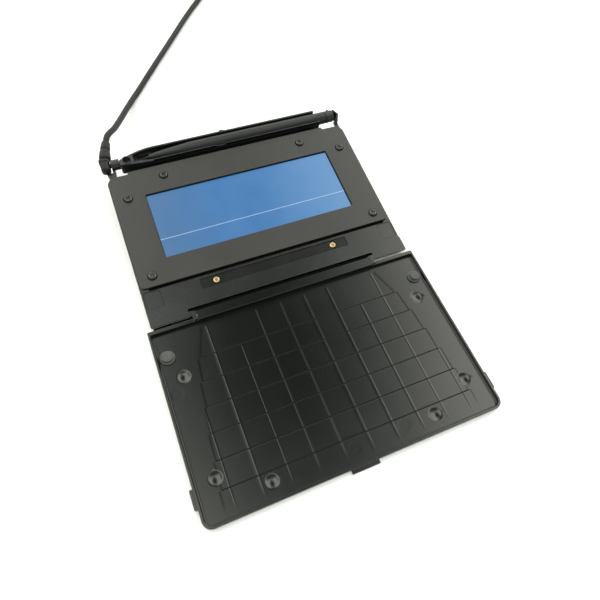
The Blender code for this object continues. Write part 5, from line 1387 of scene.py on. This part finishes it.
@dataclass
class PadHousing:
    """The pad's wedge: the base, the top frame with its seam and channel, and the face plate."""

    width: float = 164.0
    reach: float = 106.3
    rear_corner: float = 4.2
    front_corner: float = 1.0
    strip_top: float = -0.5
    frame_bottom: float = -2.1
    base_top: float = -2.4
    base_start: float = 3.4
    underside: float = 0.8
    hinge_edge: float = 0.95
    notch_reach: float = 5.8
    notch_x: float = 57.7
    slot_x: float = 59.6
    slot_width: float = 1.8
    ear_x: Span = (55.75, 58.3)
    pin_radius: float = 1.0
    face_x: float = 81.0
    shelf_x: Span = (-68.3, 67.2)
    shelf_reach: float = 108.1
    face_start: float = 25.2
    face_low: float = -0.2
    face_high: float = 0.7
    window_x: float = SCREEN_X
    window_y: Span = SCREEN_Y
    window_corner: float = SCREEN_CORNER
    seam_x: float = 77.0
    seam_y: Span = (23.5, 25.2)
    seam_depth: float = 1.0
    channel_x: float = 47.75
    channel_y: Span = (15.5, 22.0)
    channel_depth: float = 0.9
    inlay_rise: float = 0.6
    stud_x: float = 38.1
    stud_y: float = 18.75
    stud_radius: float = 2.15
    rest_x: Span = (71.0, 81.0)
    rest_y: Span = (12.0, 23.2)
    rest_depth: float = 0.25
    rest_groove: float = 0.25
    screw_head: float = 2.5
    screws: tuple[Point, ...] = ((72.6, 31.9), (72.6, 87.9), (47.2, 99.5))
    gap: float = 0.3
    wall: float = 1.6
    front_wall: float = 1.8
    base_floor: float = 1.0
    hollow_corners: Point = (1.0, 2.6)
    gap_floor_depth: float = 0.2
    lip_x: Span = (-59.0, -54.0)
    lip_reach: float = 0.6
    lip_lap: float = 0.5
    lip_levels: Span = (-3.9, -3.5)
    frame_window_x: float = 65.5
    frame_window_y: Span = (38.2, 91.3)
    channel_corner: float = 0.8
    rest_corner: float = 1.8
    bore_play: float = 0.05
    ledge_x: Span = (-1.0, 0.6)
    ledge_y: Span = (1.2, 11.0)
    stop_x: float = 81.0
    stop_wall: float = 1.3
    stop_top: float = 2.0
    ring_width: float = 0.45
    screw_bore: float = 1.5

    def build(self) -> None:
        """Make the pad's own pieces."""
        self.build_base()
        self.build_top_frame()
        self.build_face_plate()
        self.build_face_screws()
        self.build_channel()
        self.build_pin()
        self.build_feet()

    def table_level(self, away: float, height: float) -> float:
        """Level, square to the pad's face, of a point at a height over the table."""
        axis_height = HINGE.z / MM
        return (height - axis_height - away * math.sin(PAD_TILT)) / math.cos(PAD_TILT)

    def wedge(self, outline: Outline, height: float, top: float) -> Mesh:
        """A block whose underside lies level over the table."""
        low = min(self.table_level(y, height) for _, y in outline) - OVERRUN
        block = plate(outline, low, top)
        for vert in block.vertices:
            if vert.co.z < low + WELD:
                vert.co.z = self.table_level(vert.co.y, height)
        return block

    def build_base(self) -> Thing:
        """The base tray, hollow and open at the top, with its lower edges rounded."""
        outline = rectangle(around(self.width), (self.base_start, self.reach),
                            self.front_corner, self.rear_corner)
        base = softened(self.wedge(outline, self.underside, self.base_top), 0.5, 3)
        hollow = rectangle(around(self.width, -self.wall),
                           (self.base_start + self.front_wall, self.reach - self.wall),
                           *self.hollow_corners)
        # Painted shade: a shallow cut on the base's top under the hinge gap, painted near-black
        gap_shade_floor = plate(rectangle(both(self.slot_x, OVERRUN),
                                    (self.base_start - OVERRUN, self.notch_reach + OVERRUN)),
                          self.base_top - self.gap_floor_depth, self.base_top + OVERRUN)
        hollow = self.wedge(hollow, self.underside + self.base_floor, self.base_top + OVERRUN)
        base = carve(base, [painted(gap_shade_floor, SHADOW), hollow], HOUSING)
        # Painted shadow: a thin near-black lip under the left end of the hinge gap, seen through the
        # gap
        lip_left, lip_right = self.lip_x
        lip_far = self.base_start + self.lip_lap
        lip = plate([
            (-self.face_x, self.lip_reach), (lip_left, self.lip_reach), (lip_left, -self.lip_reach),
            (lip_right, -self.lip_reach), (lip_right, lip_far), (-self.face_x, lip_far),
        ], *self.lip_levels)
        base = carve(base, [painted(lip, SHADOW)], HOUSING, "UNION")
        return dress("base_tray", base, HOUSING, Body.PAD, ["housing_base"])

    def build_top_frame(self) -> Thing:
        """The frame under the face plate, with seam, channel, rests, ears and the pen stop."""
        outline = rectangle(around(self.width), (self.hinge_edge, self.reach),
                            self.front_corner, self.rear_corner)
        top, low = self.strip_top, self.frame_bottom
        body = plate(outline, low, top, 0.25)
        near, far = self.notch_reach - self.slot_width, self.notch_reach
        notch = plate(filleted([
            (-self.notch_x, -OVERRUN), (self.notch_x, -OVERRUN), (self.notch_x, near),
            (self.slot_x, near), (self.slot_x, far), (-self.slot_x, far), (-self.slot_x, near),
            (-self.notch_x, near),
        ], (0.0, 0.0, 0.1, 0.2, 0.3, 0.3, 0.2, 0.1)), low - OVERRUN, top + OVERRUN)
        window = plate(rectangle(both(self.frame_window_x), self.frame_window_y,
                                 self.window_corner), low - OVERRUN, top + OVERRUN)
        # The notch's walls are painted near-black: painted shade in the hinge gap
        body = carve(body, [painted(notch, SHADOW), window], HOUSING)
        ears = []
        for side in (-1, 1):
            x = mirrored(self.ear_x, side)
            ears.append(plate(rectangle((x[0] + 0.05, x[1] + 0.05), (0.5, near - 0.15)),
                              low + 0.07, top - 0.05))
            ears.append(HingedCover().barrel(x))
        ledge_x = (self.width / 2 + self.ledge_x[0], self.width / 2 + self.ledge_x[1])
        ledge = plate(rectangle(ledge_x, self.ledge_y, 0.4), low, top - 0.25, 0.15)
        body = carve(body, [*ears, ledge, *self.pen_stop()], HOUSING, "UNION")
        # The seam's faces are painted near-black: painted shade of a deeper seam
        seam = painted(plate(rectangle(both(self.seam_x), self.seam_y, self.channel_corner),
                             top - self.seam_depth, top + OVERRUN), SHADOW)
        channel = plate(rectangle(both(self.channel_x), self.channel_y, self.channel_corner),
                        top - self.channel_depth, top + OVERRUN)
        rests, rest_shade_rings = [], []
        for low_x, high_x in (mirrored(self.rest_x, side) for side in (1, -1)):
            outer = rectangle((low_x, high_x), self.rest_y, self.rest_corner)
            inner = rectangle((low_x + self.rest_groove, high_x - self.rest_groove),
                              (self.rest_y[0] + self.rest_groove, self.rest_y[1] - self.rest_groove),
                              self.rest_corner - self.rest_groove)
            rests.append(plate(outer, top - self.rest_depth, top + OVERRUN))
            # Painted shade: a thin groove round each rest, painted near-black
            rest_shade_rings.append(painted(plate(outer, top - self.rest_depth - self.rest_groove, top,
                                            holes=[inner]), SHADOW))
        bore = cross_rod(both(self.notch_x, self.bore_play), 0.0, 0.0,
                         self.pin_radius + self.bore_play)
        stud_holes = [upright_rod(spot, self.stud_radius + self.gap, low - OVERRUN, top + OVERRUN)
                      for spot in pair(self.stud_x, self.stud_y)]
        body = carve(body, [seam, channel, *rests, *rest_shade_rings, bore, *stud_holes], HOUSING)
        return dress("top_frame_skin", body, HOUSING, Body.PAD, ["top_frame"])

    def pen_stop(self) -> list[Mesh]:
        """The wall that closes the tray's right end, and the arm that carries it."""
        outside = self.stop_x
        middle = [(outside, 109.9), (outside + 2.5, 115.2), (outside + 0.2, 119.9)]
        inner = [(x - self.stop_wall, y) for x, y in reversed(middle)]
        wall = plate(filleted(middle + inner, (0.0, 1.2, 0.5, 0.5, 1.0, 0.0)), self.frame_bottom,
                     self.stop_top, 0.25)
        arm = plate(rectangle((outside - 2.8, outside - 0.1), (102.1, 111.2), 0.2),
                    self.frame_bottom + 0.1, self.strip_top - 0.05, 0.1)
        floor = plate([(outside - 1.5, 110.3), (outside - 0.4, 110.3), (outside + 2.0, 115.2),
                       (outside - 0.3, 119.5), (outside - 1.5, 119.5)], self.frame_bottom + 0.15,
                      self.frame_bottom + 0.9)
        return [arm, floor, wall]

    def build_face_plate(self) -> Thing:
        """The satin plate round the screen."""
        outline = filleted([
            (-self.face_x, self.face_start), (self.face_x, self.face_start), (self.face_x, self.reach),
            (self.shelf_x[1], self.reach), (self.shelf_x[1], self.shelf_reach),
            (self.shelf_x[0], self.shelf_reach), (self.shelf_x[0], self.reach),
            (-self.face_x, self.reach),
        ], (3.0, 3.0, 4.0, 0.5, 0.8, 0.8, 0.5, 4.0))
        window = rectangle(both(self.window_x), self.window_y, self.window_corner)
        holes = [circle(spot, self.screw_bore) for spot in self.screw_places()]
        body = plate(outline, self.face_low, self.face_high, 0.25, [window, *holes])
        # Painted shadow: a shallow ring round each screw head, painted near-black as the head's
        # contact shadow
        rings = [
            painted(upright_rod(spot, self.screw_head + self.ring_width, self.face_high - 0.3,
                                self.face_high + OVERRUN), SHADOW)
            for spot in self.screw_places()
        ]
        body = carve(body, rings, FACE)
        return dress("face_bezel", body, FACE, Body.PAD, ["face_plate"])

    def screw_places(self) -> list[Point]:
        """The six face screws."""
        return [(sign * x, y) for x, y in self.screws for sign in (-1, 1)]

    def build_face_screws(self) -> Thing:
        """Six domed heads with a cross recess, each turned by chance."""
        mesh = copies(screw_mesh(self.screw_head, 0.9, 5.2, self.face_high + self.gap),
                      self.screw_places(), BLACK_OXIDE, turn_range=math.pi / 2, seed=5)
        names = [f"face_screw_{count}" for count in range(1, 7)]
        return dress("face_screw_set", mesh, BLACK_OXIDE, Body.PAD, names)

    def build_channel(self) -> None:
        """The inlay in the channel and its two gold contacts."""
        floor = self.strip_top - self.channel_depth
        outline = rectangle(both(self.channel_x, -self.gap),
                            (self.channel_y[0] + self.gap, self.channel_y[1] - self.gap), 0.6)
        holes = [circle(spot, self.stud_radius + 0.25) for spot in pair(self.stud_x, self.stud_y)]
        inlay = plate(outline, floor + 0.25, floor + self.inlay_rise, 0.08, holes)
        dress("inlay_strip", inlay, INLAY, Body.PAD, ["channel_inlay"])
        top = self.strip_top - 0.1
        ring = filleted([
            (0.0, top - 0.25), (0.85, top - 0.25), (0.95, top - 0.02), (1.35, top),
            (self.stud_radius - 0.3, top - 0.15), (self.stud_radius - 0.3, top - 1.3),
            (0.0, top - 1.3),
        ], (0, 0.1, 0.08, 0.3, 0.2, 0.1, 0), 4, closed=False)
        studs = copies(lathe(ring), pair(self.stud_x, self.stud_y), GOLD)
        dress("contact_studs", studs, GOLD, Body.PAD, ["brass_stud_1", "brass_stud_2"])
        # Painted shade and painted reflection: a darker, red-brown metal disc in each stud's hollow
        pit = filleted([(0.0, top - 0.12), (0.8, top - 0.2), (0.8, top - 0.4), (0.0, top - 0.4)],
                       (0, 0.08, 0.05, 0), 3, closed=False)
        pits = copies(lathe(pit, 32), pair(self.stud_x, self.stud_y), STUD_PIT_SHADE)
        dress("contact_pits", pits, STUD_PIT_SHADE, Body.PAD, ["brass_stud_1", "brass_stud_2"])

    def build_pin(self) -> Thing:
        """The steel pin of the hinge."""
        rod = cross_rod(both(self.notch_x), 0.0, 0.0, self.pin_radius, 0.15)
        return dress("hinge_rod", rod, NICKEL, Body.PAD, ["hinge_pin"])

    def build_feet(self) -> Thing:
        """Four rubber feet that stand on the table."""
        profile = filleted([(0.0, 0.55), (5.0, 0.55), (5.0, 0.0), (0.0, 0.0)], (0, 0.1, 0.25, 0), 4,
                           closed=False)
        places = [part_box(f"rubber_foot_{count}") for count in range(1, 5)]
        spots = [((low + high) / 2 / MM) for low, high in places]
        mesh = copies(lathe(profile), [(spot.x, spot.y, 0.0) for spot in spots], RUBBER)
        names = [f"rubber_foot_{count}" for count in range(1, 5)]
        return dress("pad_feet", mesh, RUBBER, Body.PAD, names, TABLE_FRAME)


def screw_mesh(head: float, height: float, length: float, seat: float) -> Mesh:
    """A pan-head screw about Z with a cross recess, its seat at the given level."""
    profile = filleted([
        (0.0, seat + height), (head * 0.72, seat + height * 0.96), (head, seat + height * 0.45),
        (head, seat), (1.2, seat), (1.2, seat - length), (0.0, seat - length),
    ], (0, 0.9, 0.3, 0.08, 0.1, 0.3, 0), 4, closed=False)
    # The cross recess is cut and painted near-black: painted shade in the recess
    slots = [
        painted(plate(rectangle(x, y, 0.12), seat + height - 0.55, seat + height + OVERRUN), SHADOW)
        for x, y in ((around(0.8), around(3.2)), (around(3.2), around(0.8)))
    ]
    return carve(lathe(profile, 48), slots, BLACK_OXIDE)


@dataclass
class ScreenStack:
    """The lit screen and what lies under it inside the pad."""

    window_x: float = SCREEN_X
    window_y: Span = SCREEN_Y
    corner: float = SCREEN_CORNER
    margin: float = 3.0
    top: float = -0.5
    thickness: float = 1.1
    line_y: float = 54.5
    line_width: float = 0.32
    shade_border: float = 0.55
    dots: Point = (320.0, 120.0)

    def build(self) -> None:
        """Make the screen, and finish the solids that stay hidden under it."""
        height = self.window_y[1] - self.window_y[0]
        screen = LitScreen(
            "lit_screen", (0.045, 0.160, 0.360), (0.038, 0.180, 0.445), (0.086, 0.256, 0.525),
            (0.55, 0.68, 0.86), (self.line_y - self.window_y[0]) / height,
            self.line_width / height, (self.shade_border / (2 * self.window_x), self.shade_border / height),
            *self.dots,
        )
        outline = rectangle(around(2 * self.window_x, self.margin),
                            (self.window_y[0] - self.margin, self.window_y[1] + self.margin),
                            self.corner)
        mesh = plate(outline, self.top - self.thickness, self.top, 0.1)
        chart = mesh.uv_layers.new(name="screen")
        for corner, loop in zip(chart.data, mesh.loops):
            spot = mesh.vertices[loop.vertex_index].co
            corner.uv = (spot.x / (2 * self.window_x) + 0.5, (spot.y - self.window_y[0]) / height)
        dress("screen_film", mesh, screen, Body.PAD, ["screen_window"])
        finishes = {
            "lcd_cell": CELL, "lcd_backlight": GUIDE, "digitizer_board": BOARD, "main_board": BOARD,
            "lcd_ribbon": POLYIMIDE, "lead_header": CHIP_WHITE, "internal_lead": JACKET,
            **{f"board_screw_{count}": NICKEL for count in range(1, 5)},
        }
        for node, finish in finishes.items():
            solid = frame["nodes"][node]
            for place in solid.material_slots:
                place.material = material_for(finish)
            log.info("%s: finished as %s", node, finish.name)


# Pen tray, stylus and cable entry

@dataclass
class PenTray:
    """The open trough behind the pad, drawn in to a nose with an eye at its left end."""

    start: float = 110.5
    end: float = 122.1
    left: float = -71.0
    right: float = 66.0
    top: float = 3.0
    bottom: float = -5.84
    wall: float = 1.3
    lip: float = 0.6
    slant: float = -1.2
    taper: float = 21.0
    near_set: float = 2.2
    far_set: float = 5.3
    nose_curve: float = 1.6
    divider: float = -62.0
    axis_y: float = PEN_Y
    axis_z: float = PEN_Z
    gutter_radius: float = 4.4
    eye: Point = (-66.4, 115.5)
    eye_radius: float = 2.4
    collar_rise: float = 0.35
    tip_radius: float = 2.7
    bump: Point = (-1.35, 120.8)
    bump_radius: float = 2.4
    notch_x: Span = (-8.0, -1.6)
    flange_y: Span = (106.6, 108.2)
    flange_z: Span = (-11.0, -3.8)
    screw_x: tuple[float, ...] = (-45.0, 0.0, 45.0)
    screw_z: float = -8.7
    screw_bore: float = 1.5
    seat_y: float = 108.5
    web_set: float = 3.0
    notch_depth: float = 1.0
    step_depth: float = 1.6

    @property
    def open_end(self) -> float:
        """Where the cutters end, past the open right end."""
        return self.right + 3 * OVERRUN

    def outline(self) -> Outline:
        """Plan of the tray."""
        near, far = [], []
        steps = 14
        for step in range(steps + 1):
            share = step / steps
            x = self.left + self.taper * (1 - share)
            pull = share ** self.nose_curve
            near.append((x, self.start + self.near_set * pull))
            far.append((x, self.end - self.far_set * pull))
        ring = [(self.right - self.slant, self.start), (self.right, self.end), *far, *near[::-1]]
        radii = [0.3, 0.3] + [0.0] * steps + [1.2, 1.2] + [0.0] * steps
        return filleted(ring, radii, 5)

    def build(self) -> None:
        """Make the tray and its screws."""
        tray = plate(self.outline(), self.bottom, self.top, 0.3)
        bump = plate(circle(self.bump, self.bump_radius), self.top - 3.0, self.top, 0.4)
        web_x = (self.left + self.web_set, self.right - self.web_set)
        web = plate(rectangle(web_x, (self.flange_y[0], self.start + 0.65), 0.2), self.bottom,
                    self.bottom + 1.8)
        flange = plate(rectangle(web_x, self.flange_y, 0.2), *self.flange_z, 0.1)
        collar = plate(circle(self.eye, self.eye_radius + 0.7), self.top - 1.5,
                       self.top + self.collar_rise, 0.15)
        tray = carve(tray, [bump, web, flange, collar], TRAY, "UNION")
        well = [
            plate(self.well_outline(), self.axis_z, self.top + OVERRUN),
            cross_rod((self.left + self.taper, self.open_end + OVERRUN), self.axis_y, self.axis_z,
                      self.gutter_radius),
            cross_rod((self.divider + 2.0, self.left + self.taper + OVERRUN), self.axis_y,
                      self.axis_z, self.tip_radius),
        ]
        eye = plate(circle(self.eye, self.eye_radius), self.bottom - OVERRUN, self.top + OVERRUN)
        notch = plate(rectangle(self.notch_x, (self.start - OVERRUN, self.start + self.wall + 0.3)),
                      self.top - self.notch_depth, self.top + OVERRUN)
        # Painted shade: a step cut into the near wall's outer edge and painted near-black, below a
        # thin top lip
        step = plate(rectangle((self.left + self.taper, self.open_end),
                               (self.start - OVERRUN, self.start + self.wall - self.lip)),
                     self.top - self.step_depth, self.top + OVERRUN)
        bores = [moved(turned(upright_rod((0.0, 0.0), self.screw_bore, -2.0, 2.0), 90.0, "X"),
                       x, sum(self.flange_y) / 2, self.screw_z) for x in self.screw_x]
        tray = carve(tray, [*well, eye, notch, painted(step, SHADOW), *bores], TRAY)
        dress("pen_trough", tray, TRAY, Body.PAD, ["pen_tray"])
        screws = turned(screw_mesh(2.5, 0.9, 5.0, 0.0), -90.0, "X")
        screws = copies(screws, [(x, self.seat_y, self.screw_z) for x in self.screw_x], BLACK_OXIDE)
        names = [f"tray_screw_{count}" for count in range(1, 4)]
        dress("tray_screw_set", screws, BLACK_OXIDE, Body.PAD, names)

    def well_outline(self) -> Outline:
        """Plan of the well that the stylus lies in, open at the right end."""
        near, far = [], []
        steps = 8
        for step in range(steps + 1):
            x = self.divider + (self.left + self.taper - self.divider) * step / steps
            pull = ((self.left + self.taper - x) / self.taper) ** self.nose_curve
            near.append((x, self.start + self.wall + self.near_set * pull))
            far.append((x, self.end - self.wall - self.far_set * pull))
        return [*near, (self.open_end, near[-1][1]), (self.open_end, far[-1][1]), *far[::-1]]


@dataclass
class Stylus:
    """The pen: a tapered barrel, a small nib and an end cap."""

    axis_y: float = PEN_Y
    axis_z: float = PEN_Z
    tip: float = -56.1
    end: float = 79.3
    radius: float = 4.1
    nib_length: float = 3.6
    neck_radius: float = 1.9
    neck_length: float = 1.2
    cone_length: float = 26.5
    cone_curve: float = 0.75
    cap_length: float = 6.0
    gap: float = 0.3

    def build(self) -> None:
        """Make the three pieces of the pen."""
        place = PAD_FRAME @ Matrix.Translation((0.0, self.axis_y, self.axis_z)) @ Matrix.Rotation(
            math.pi / 2, 4, "Y")
        neck = self.tip + self.nib_length
        cone = neck + self.neck_length
        cap = self.end - self.cap_length
        taper = []
        steps = 14
        for step in range(steps + 1):
            share = 1 - step / steps
            widening = (self.radius - self.neck_radius) * share ** self.cone_curve
            taper.append((self.neck_radius + widening, cone + self.cone_length * share))
        barrel = [
            (0.0, cap - 5.3), (2.9, cap - 5.3), (2.9, cap - self.gap),
            *filleted([(3.4, cap - self.gap), (self.radius, cap - self.gap),
                       (self.radius, cap - 4.0)], 0.25, 4, closed=False),
            *taper,
            *filleted([(self.neck_radius, neck + 1.0), (self.neck_radius, neck + self.gap),
                       (1.3, neck + self.gap)], 0.25, 4, closed=False),
            (1.3, neck + 6.3), (0.0, neck + 6.3),
        ]
        dress("pen_barrel", lathe(barrel), PEN, Body.STYLUS, ["stylus_barrel"], place)
        nib = filleted([(0.0, neck + 6.0), (1.0, neck + 6.0), (1.0, neck), (0.55, self.tip),
                        (0.0, self.tip)], (0, 0.1, 0.3, 0.35, 0), 5, closed=False)
        dress("pen_nib", lathe(nib, 40), INLAY, Body.STYLUS, ["stylus_nib"], place)
        end_cap = filleted([
            (0.0, self.end), (self.radius - 0.1, self.end - 0.05), (self.radius, cap), (2.6, cap),
            (2.6, cap - 5.0), (0.0, cap - 5.0),
        ], (0, 0.9, 0.25, 0.1, 0.3, 0), 6, closed=False)
        knob = cross_rod((-self.radius - 0.5, -self.radius + 0.8), 0.0, cap + 2.6, 0.9, 0.25)
        end_cap = carve(lathe(end_cap), [turned(knob, -40.0, "Z")], PEN, "UNION")
        dress("pen_end_cap", end_cap, PEN, Body.STYLUS, ["stylus_cap"], place)


@dataclass
class CableEntry:
    """The bracket at the pad's rear left corner, the right-angle boot and its sleeve."""

    axis_y: float = PEN_Y
    axis_z: float = PEN_Z
    boot_x: Span = (-83.3, -76.9)
    boot_y: Span = (111.6, 121.4)
    boot_height: float = 7.0
    sleeve_start: float = 121.7
    sleeve_length: float = 14.3
    sleeve_x: float = -79.0
    sidestep: float = 3.8
    side_curve: float = 1.3
    sleeve_dip: float = 0.15
    root_radius: float = 3.8
    end_radius: float = 2.6

    def build(self) -> list[Thing]:
        """Make the entry.

        Returns:
            The boot and the sleeve, which the cable carries.
        """
        self.build_bracket()
        return [self.build_boot(), self.build_sleeve()]

    def build_bracket(self) -> Thing:
        """The arm from the pad's rear wall to the socket at the tray's nose."""
        outline = [(-79.3, 106.6), (-75.5, 106.6), (-74.6, 114.4), (-76.6, 114.4), (-76.6, 111.3),
                   (-80.7, 111.3)]
        arm = plate(filleted(outline, (0.5, 0.5, 0.6, 0.3, 0.2, 0.5), 5), -5.6, -0.9, 0.25)
        socket = cross_rod((-76.6, -71.05), self.axis_y, self.axis_z, 3.4, 0.3)
        foot = plate(rectangle((-79.3, -75.5), (106.6, 108.2), 0.3), -9.0, -0.9, 0.2)
        arm = carve(arm, [socket, foot], HOUSING, "UNION")
        bore = cross_rod((-78.0, -71.0), self.axis_y, self.axis_z, 1.9)
        arm = carve(arm, [bore], HOUSING)
        return dress("cable_bracket", arm, HOUSING, Body.PAD, ["cable_arm"])

    def build_boot(self) -> Thing:
        """The moulded right-angle boot, with a raised grip ring and a spigot to the socket."""
        middle = sum(self.boot_x) / 2
        half_x = (self.boot_x[1] - self.boot_x[0]) / 2
        half_z = self.boot_height / 2
        length = self.boot_y[1] - self.boot_y[0]

        def ring(start: float, end: float, inset: float, edge: float) -> Mesh:
            """A rounded-square ring of the boot between two distances from its front."""
            section = rectangle(both(half_x, -inset), both(half_z, -inset), 2.4)
            solid = turned(plate(section, -end, -start, edge), 90.0, "X")
            return moved(solid, middle, self.boot_y[0], self.axis_z)

        core = ring(0.0, length, 0.25, 1.8)
        grip = ring(length - 2.9, length - 0.5, 0.0, 0.4)
        spigot = cross_rod((self.boot_x[1] - 1.0, self.boot_x[1] + 3.2), self.axis_y, self.axis_z,
                           1.5, 0.2)
        boot = carve(core, [grip, spigot], JACKET, "UNION")
        return dress("cable_boot", boot, JACKET, Body.PAD, ["cable_elbow"])

    def build_sleeve(self) -> Thing:
        """The tapered sleeve with its ridges, which bends towards the cable's way."""
        steps = 72
        path = [
            (self.sleeve_x + self.sidestep * (step / steps) ** self.side_curve,
             self.sleeve_start + self.sleeve_length * step / steps,
             self.axis_z - self.sleeve_dip * (step / steps) ** 2)
            for step in range(steps + 1)
        ]
        mesh = grown(RIDGED_SLEEVE, points_mesh(path, joined=True), Root_Radius=self.root_radius,
                     End_Radius=self.end_radius, Ridge_Depth=0.55, Ridges=2.0,
                     Groove_Sharpness=9.0, Sides=48, Finish=material_for(JACKET))
        return dress("cable_sleeve", welded(mesh), JACKET, Body.PAD, ["strain_relief"])


# Studio

@dataclass
class Studio:
    """The camera, the pale floor and the soft light."""

    spot: Place = (-0.06704, -0.13741, 0.25833)
    heading: float = 30.2917
    dip: float = 61.0453
    roll: float = 9.1811
    focal_px: float = 489.71
    picture_px: float = 600.0
    sensor: float = 36.0
    floor_size: float = 6.0
    dim_middle: Point = (0.166, 0.36)
    dim_spread: Point = (0.17, 0.28)
    dim_rise: float = 0.50
    dim_power: float = 1.55
    left_share: float = 0.78
    left_x: Span = (-0.22, 0.10)
    panel_level: float = 4.2
    panel_x: Span = (3.6, 5.4)
    panel_y: Span = (1.4, 2.6)
    room_level: float = 0.5
    cool: Colour = (0.82, 1.00, 0.99)
    warm: Colour = (1.00, 1.01, 0.92)
    wall_level: float = 1.0
    wall_height: Span = (0.25, 0.45)

    def build(self) -> None:
        """Make the studio."""
        self.build_camera()
        self.build_floor()
        self.build_light()
        bpy.context.scene.view_settings.view_transform = "Standard"

    def build_camera(self) -> None:
        """The camera at the photograph's place."""
        heading, dip, roll = (math.radians(value) for value in (self.heading, self.dip, self.roll))
        look = Vector((math.sin(heading) * math.cos(dip), math.cos(heading) * math.cos(dip),
                       -math.sin(dip)))
        level = look.cross(Vector((0.0, 0.0, 1.0))).normalized()
        right = Matrix.Rotation(-roll, 3, look) @ level
        above = right.cross(look)
        camera = bpy.data.cameras.new("camera")
        camera.sensor_width = self.sensor
        camera.lens = self.focal_px * self.sensor / self.picture_px
        camera.clip_start = 0.01
        holder = bench("camera", camera)
        turn = Matrix((right, above, -look)).transposed().to_4x4()
        holder.matrix_world = Matrix.Translation(self.spot) @ turn
        bpy.context.scene.camera = holder

    def build_floor(self) -> None:
        """The floor: white to the eye and in reflections, with the object's shadow kept."""
        work = bmesh.new()
        bmesh.ops.create_grid(work, x_segments=1, y_segments=1, size=self.floor_size / 2)
        mesh = mesh_of(work, "floor")
        material, wiring, shader, _ = new_material("floor_paper")
        ray = wiring.add("ShaderNodeLightPath")
        seen = wiring.math("MAXIMUM", ray.outputs["Is Camera Ray"], ray.outputs["Is Glossy Ray"])
        seen = wiring.math("MAXIMUM", seen, ray.outputs["Is Transmission Ray"])
        wiring.fill(shader, {
            "Base Color": (0.82, 0.82, 0.82, 1.0), "Roughness": 0.9, "Specular IOR Level": 0.0,
            "Emission Color": (1.0, 1.0, 1.0, 1.0), "Emission Strength": wiring.times(seen, 0.08)})
        mesh.materials.append(material)
        bench("floor", mesh)

    def build_light(self) -> None:
        """A soft room: light panels left and right, dim overhead between them, pale walls."""
        world = bpy.data.worlds.new("studio")
        bpy.context.scene.world = world
        world.use_nodes = True
        wiring = Wiring(world.node_tree)
        way = wiring.add("ShaderNodeSeparateXYZ",
                         {0: wiring.add("ShaderNodeTexCoord").outputs["Generated"]})
        offs = [
            wiring.math("ABSOLUTE", wiring.math("DIVIDE", wiring.minus(axis, middle), spread))
            for axis, middle, spread in zip((way.outputs["X"], way.outputs["Y"]), self.dim_middle,
                                            self.dim_spread)
        ]
        squares = [wiring.math("POWER", off, 2.0) for off in offs]
        rise = wiring.math("POWER", wiring.plus(*squares), self.dim_power)
        left = wiring.ramp(way.outputs["X"], *self.left_x, self.left_share, 1.0)
        rise = wiring.times(wiring.times(rise, self.dim_rise), left)
        panels = wiring.math("MINIMUM", rise, self.panel_level)
        reach = wiring.times(wiring.ramp(offs[0], *self.panel_x, 1.0, 0.0),
                             wiring.ramp(offs[1], *self.panel_y, 1.0, 0.0))
        shown = wiring.times(wiring.minus(panels, self.room_level), reach)
        sky = wiring.plus(shown, self.room_level)
        wall = wiring.ramp(way.outputs["Z"], *self.wall_height, 1.0, 0.0)
        step = wiring.minus(self.wall_level, sky)
        light = wiring.scaled(wall, step, sky)
        background = world.node_tree.nodes["Background"]
        tint = wiring.blend(wiring.ramp(light, 0.1, 1.3), opaque(self.cool), opaque(self.warm))
        wiring.fill(background, {"Color": tint, "Strength": light})


def main() -> None:
    """Build the scene."""
    logging.basicConfig(level=logging.INFO, format="%(message)s")
    Studio().build()
    cable = CoiledCable()
    plug = Plug()
    on_cable = CableEntry().build()
    on_cable += [CoilBand(cable).build(), plug.build_grip(), plug.build_shell()]
    cable.build(on_cable)
    HingedCover().build()
    PadHousing().build()
    ScreenStack().build()
    PenTray().build()
    Stylus().build()


if __name__ == "__main__":
    main()
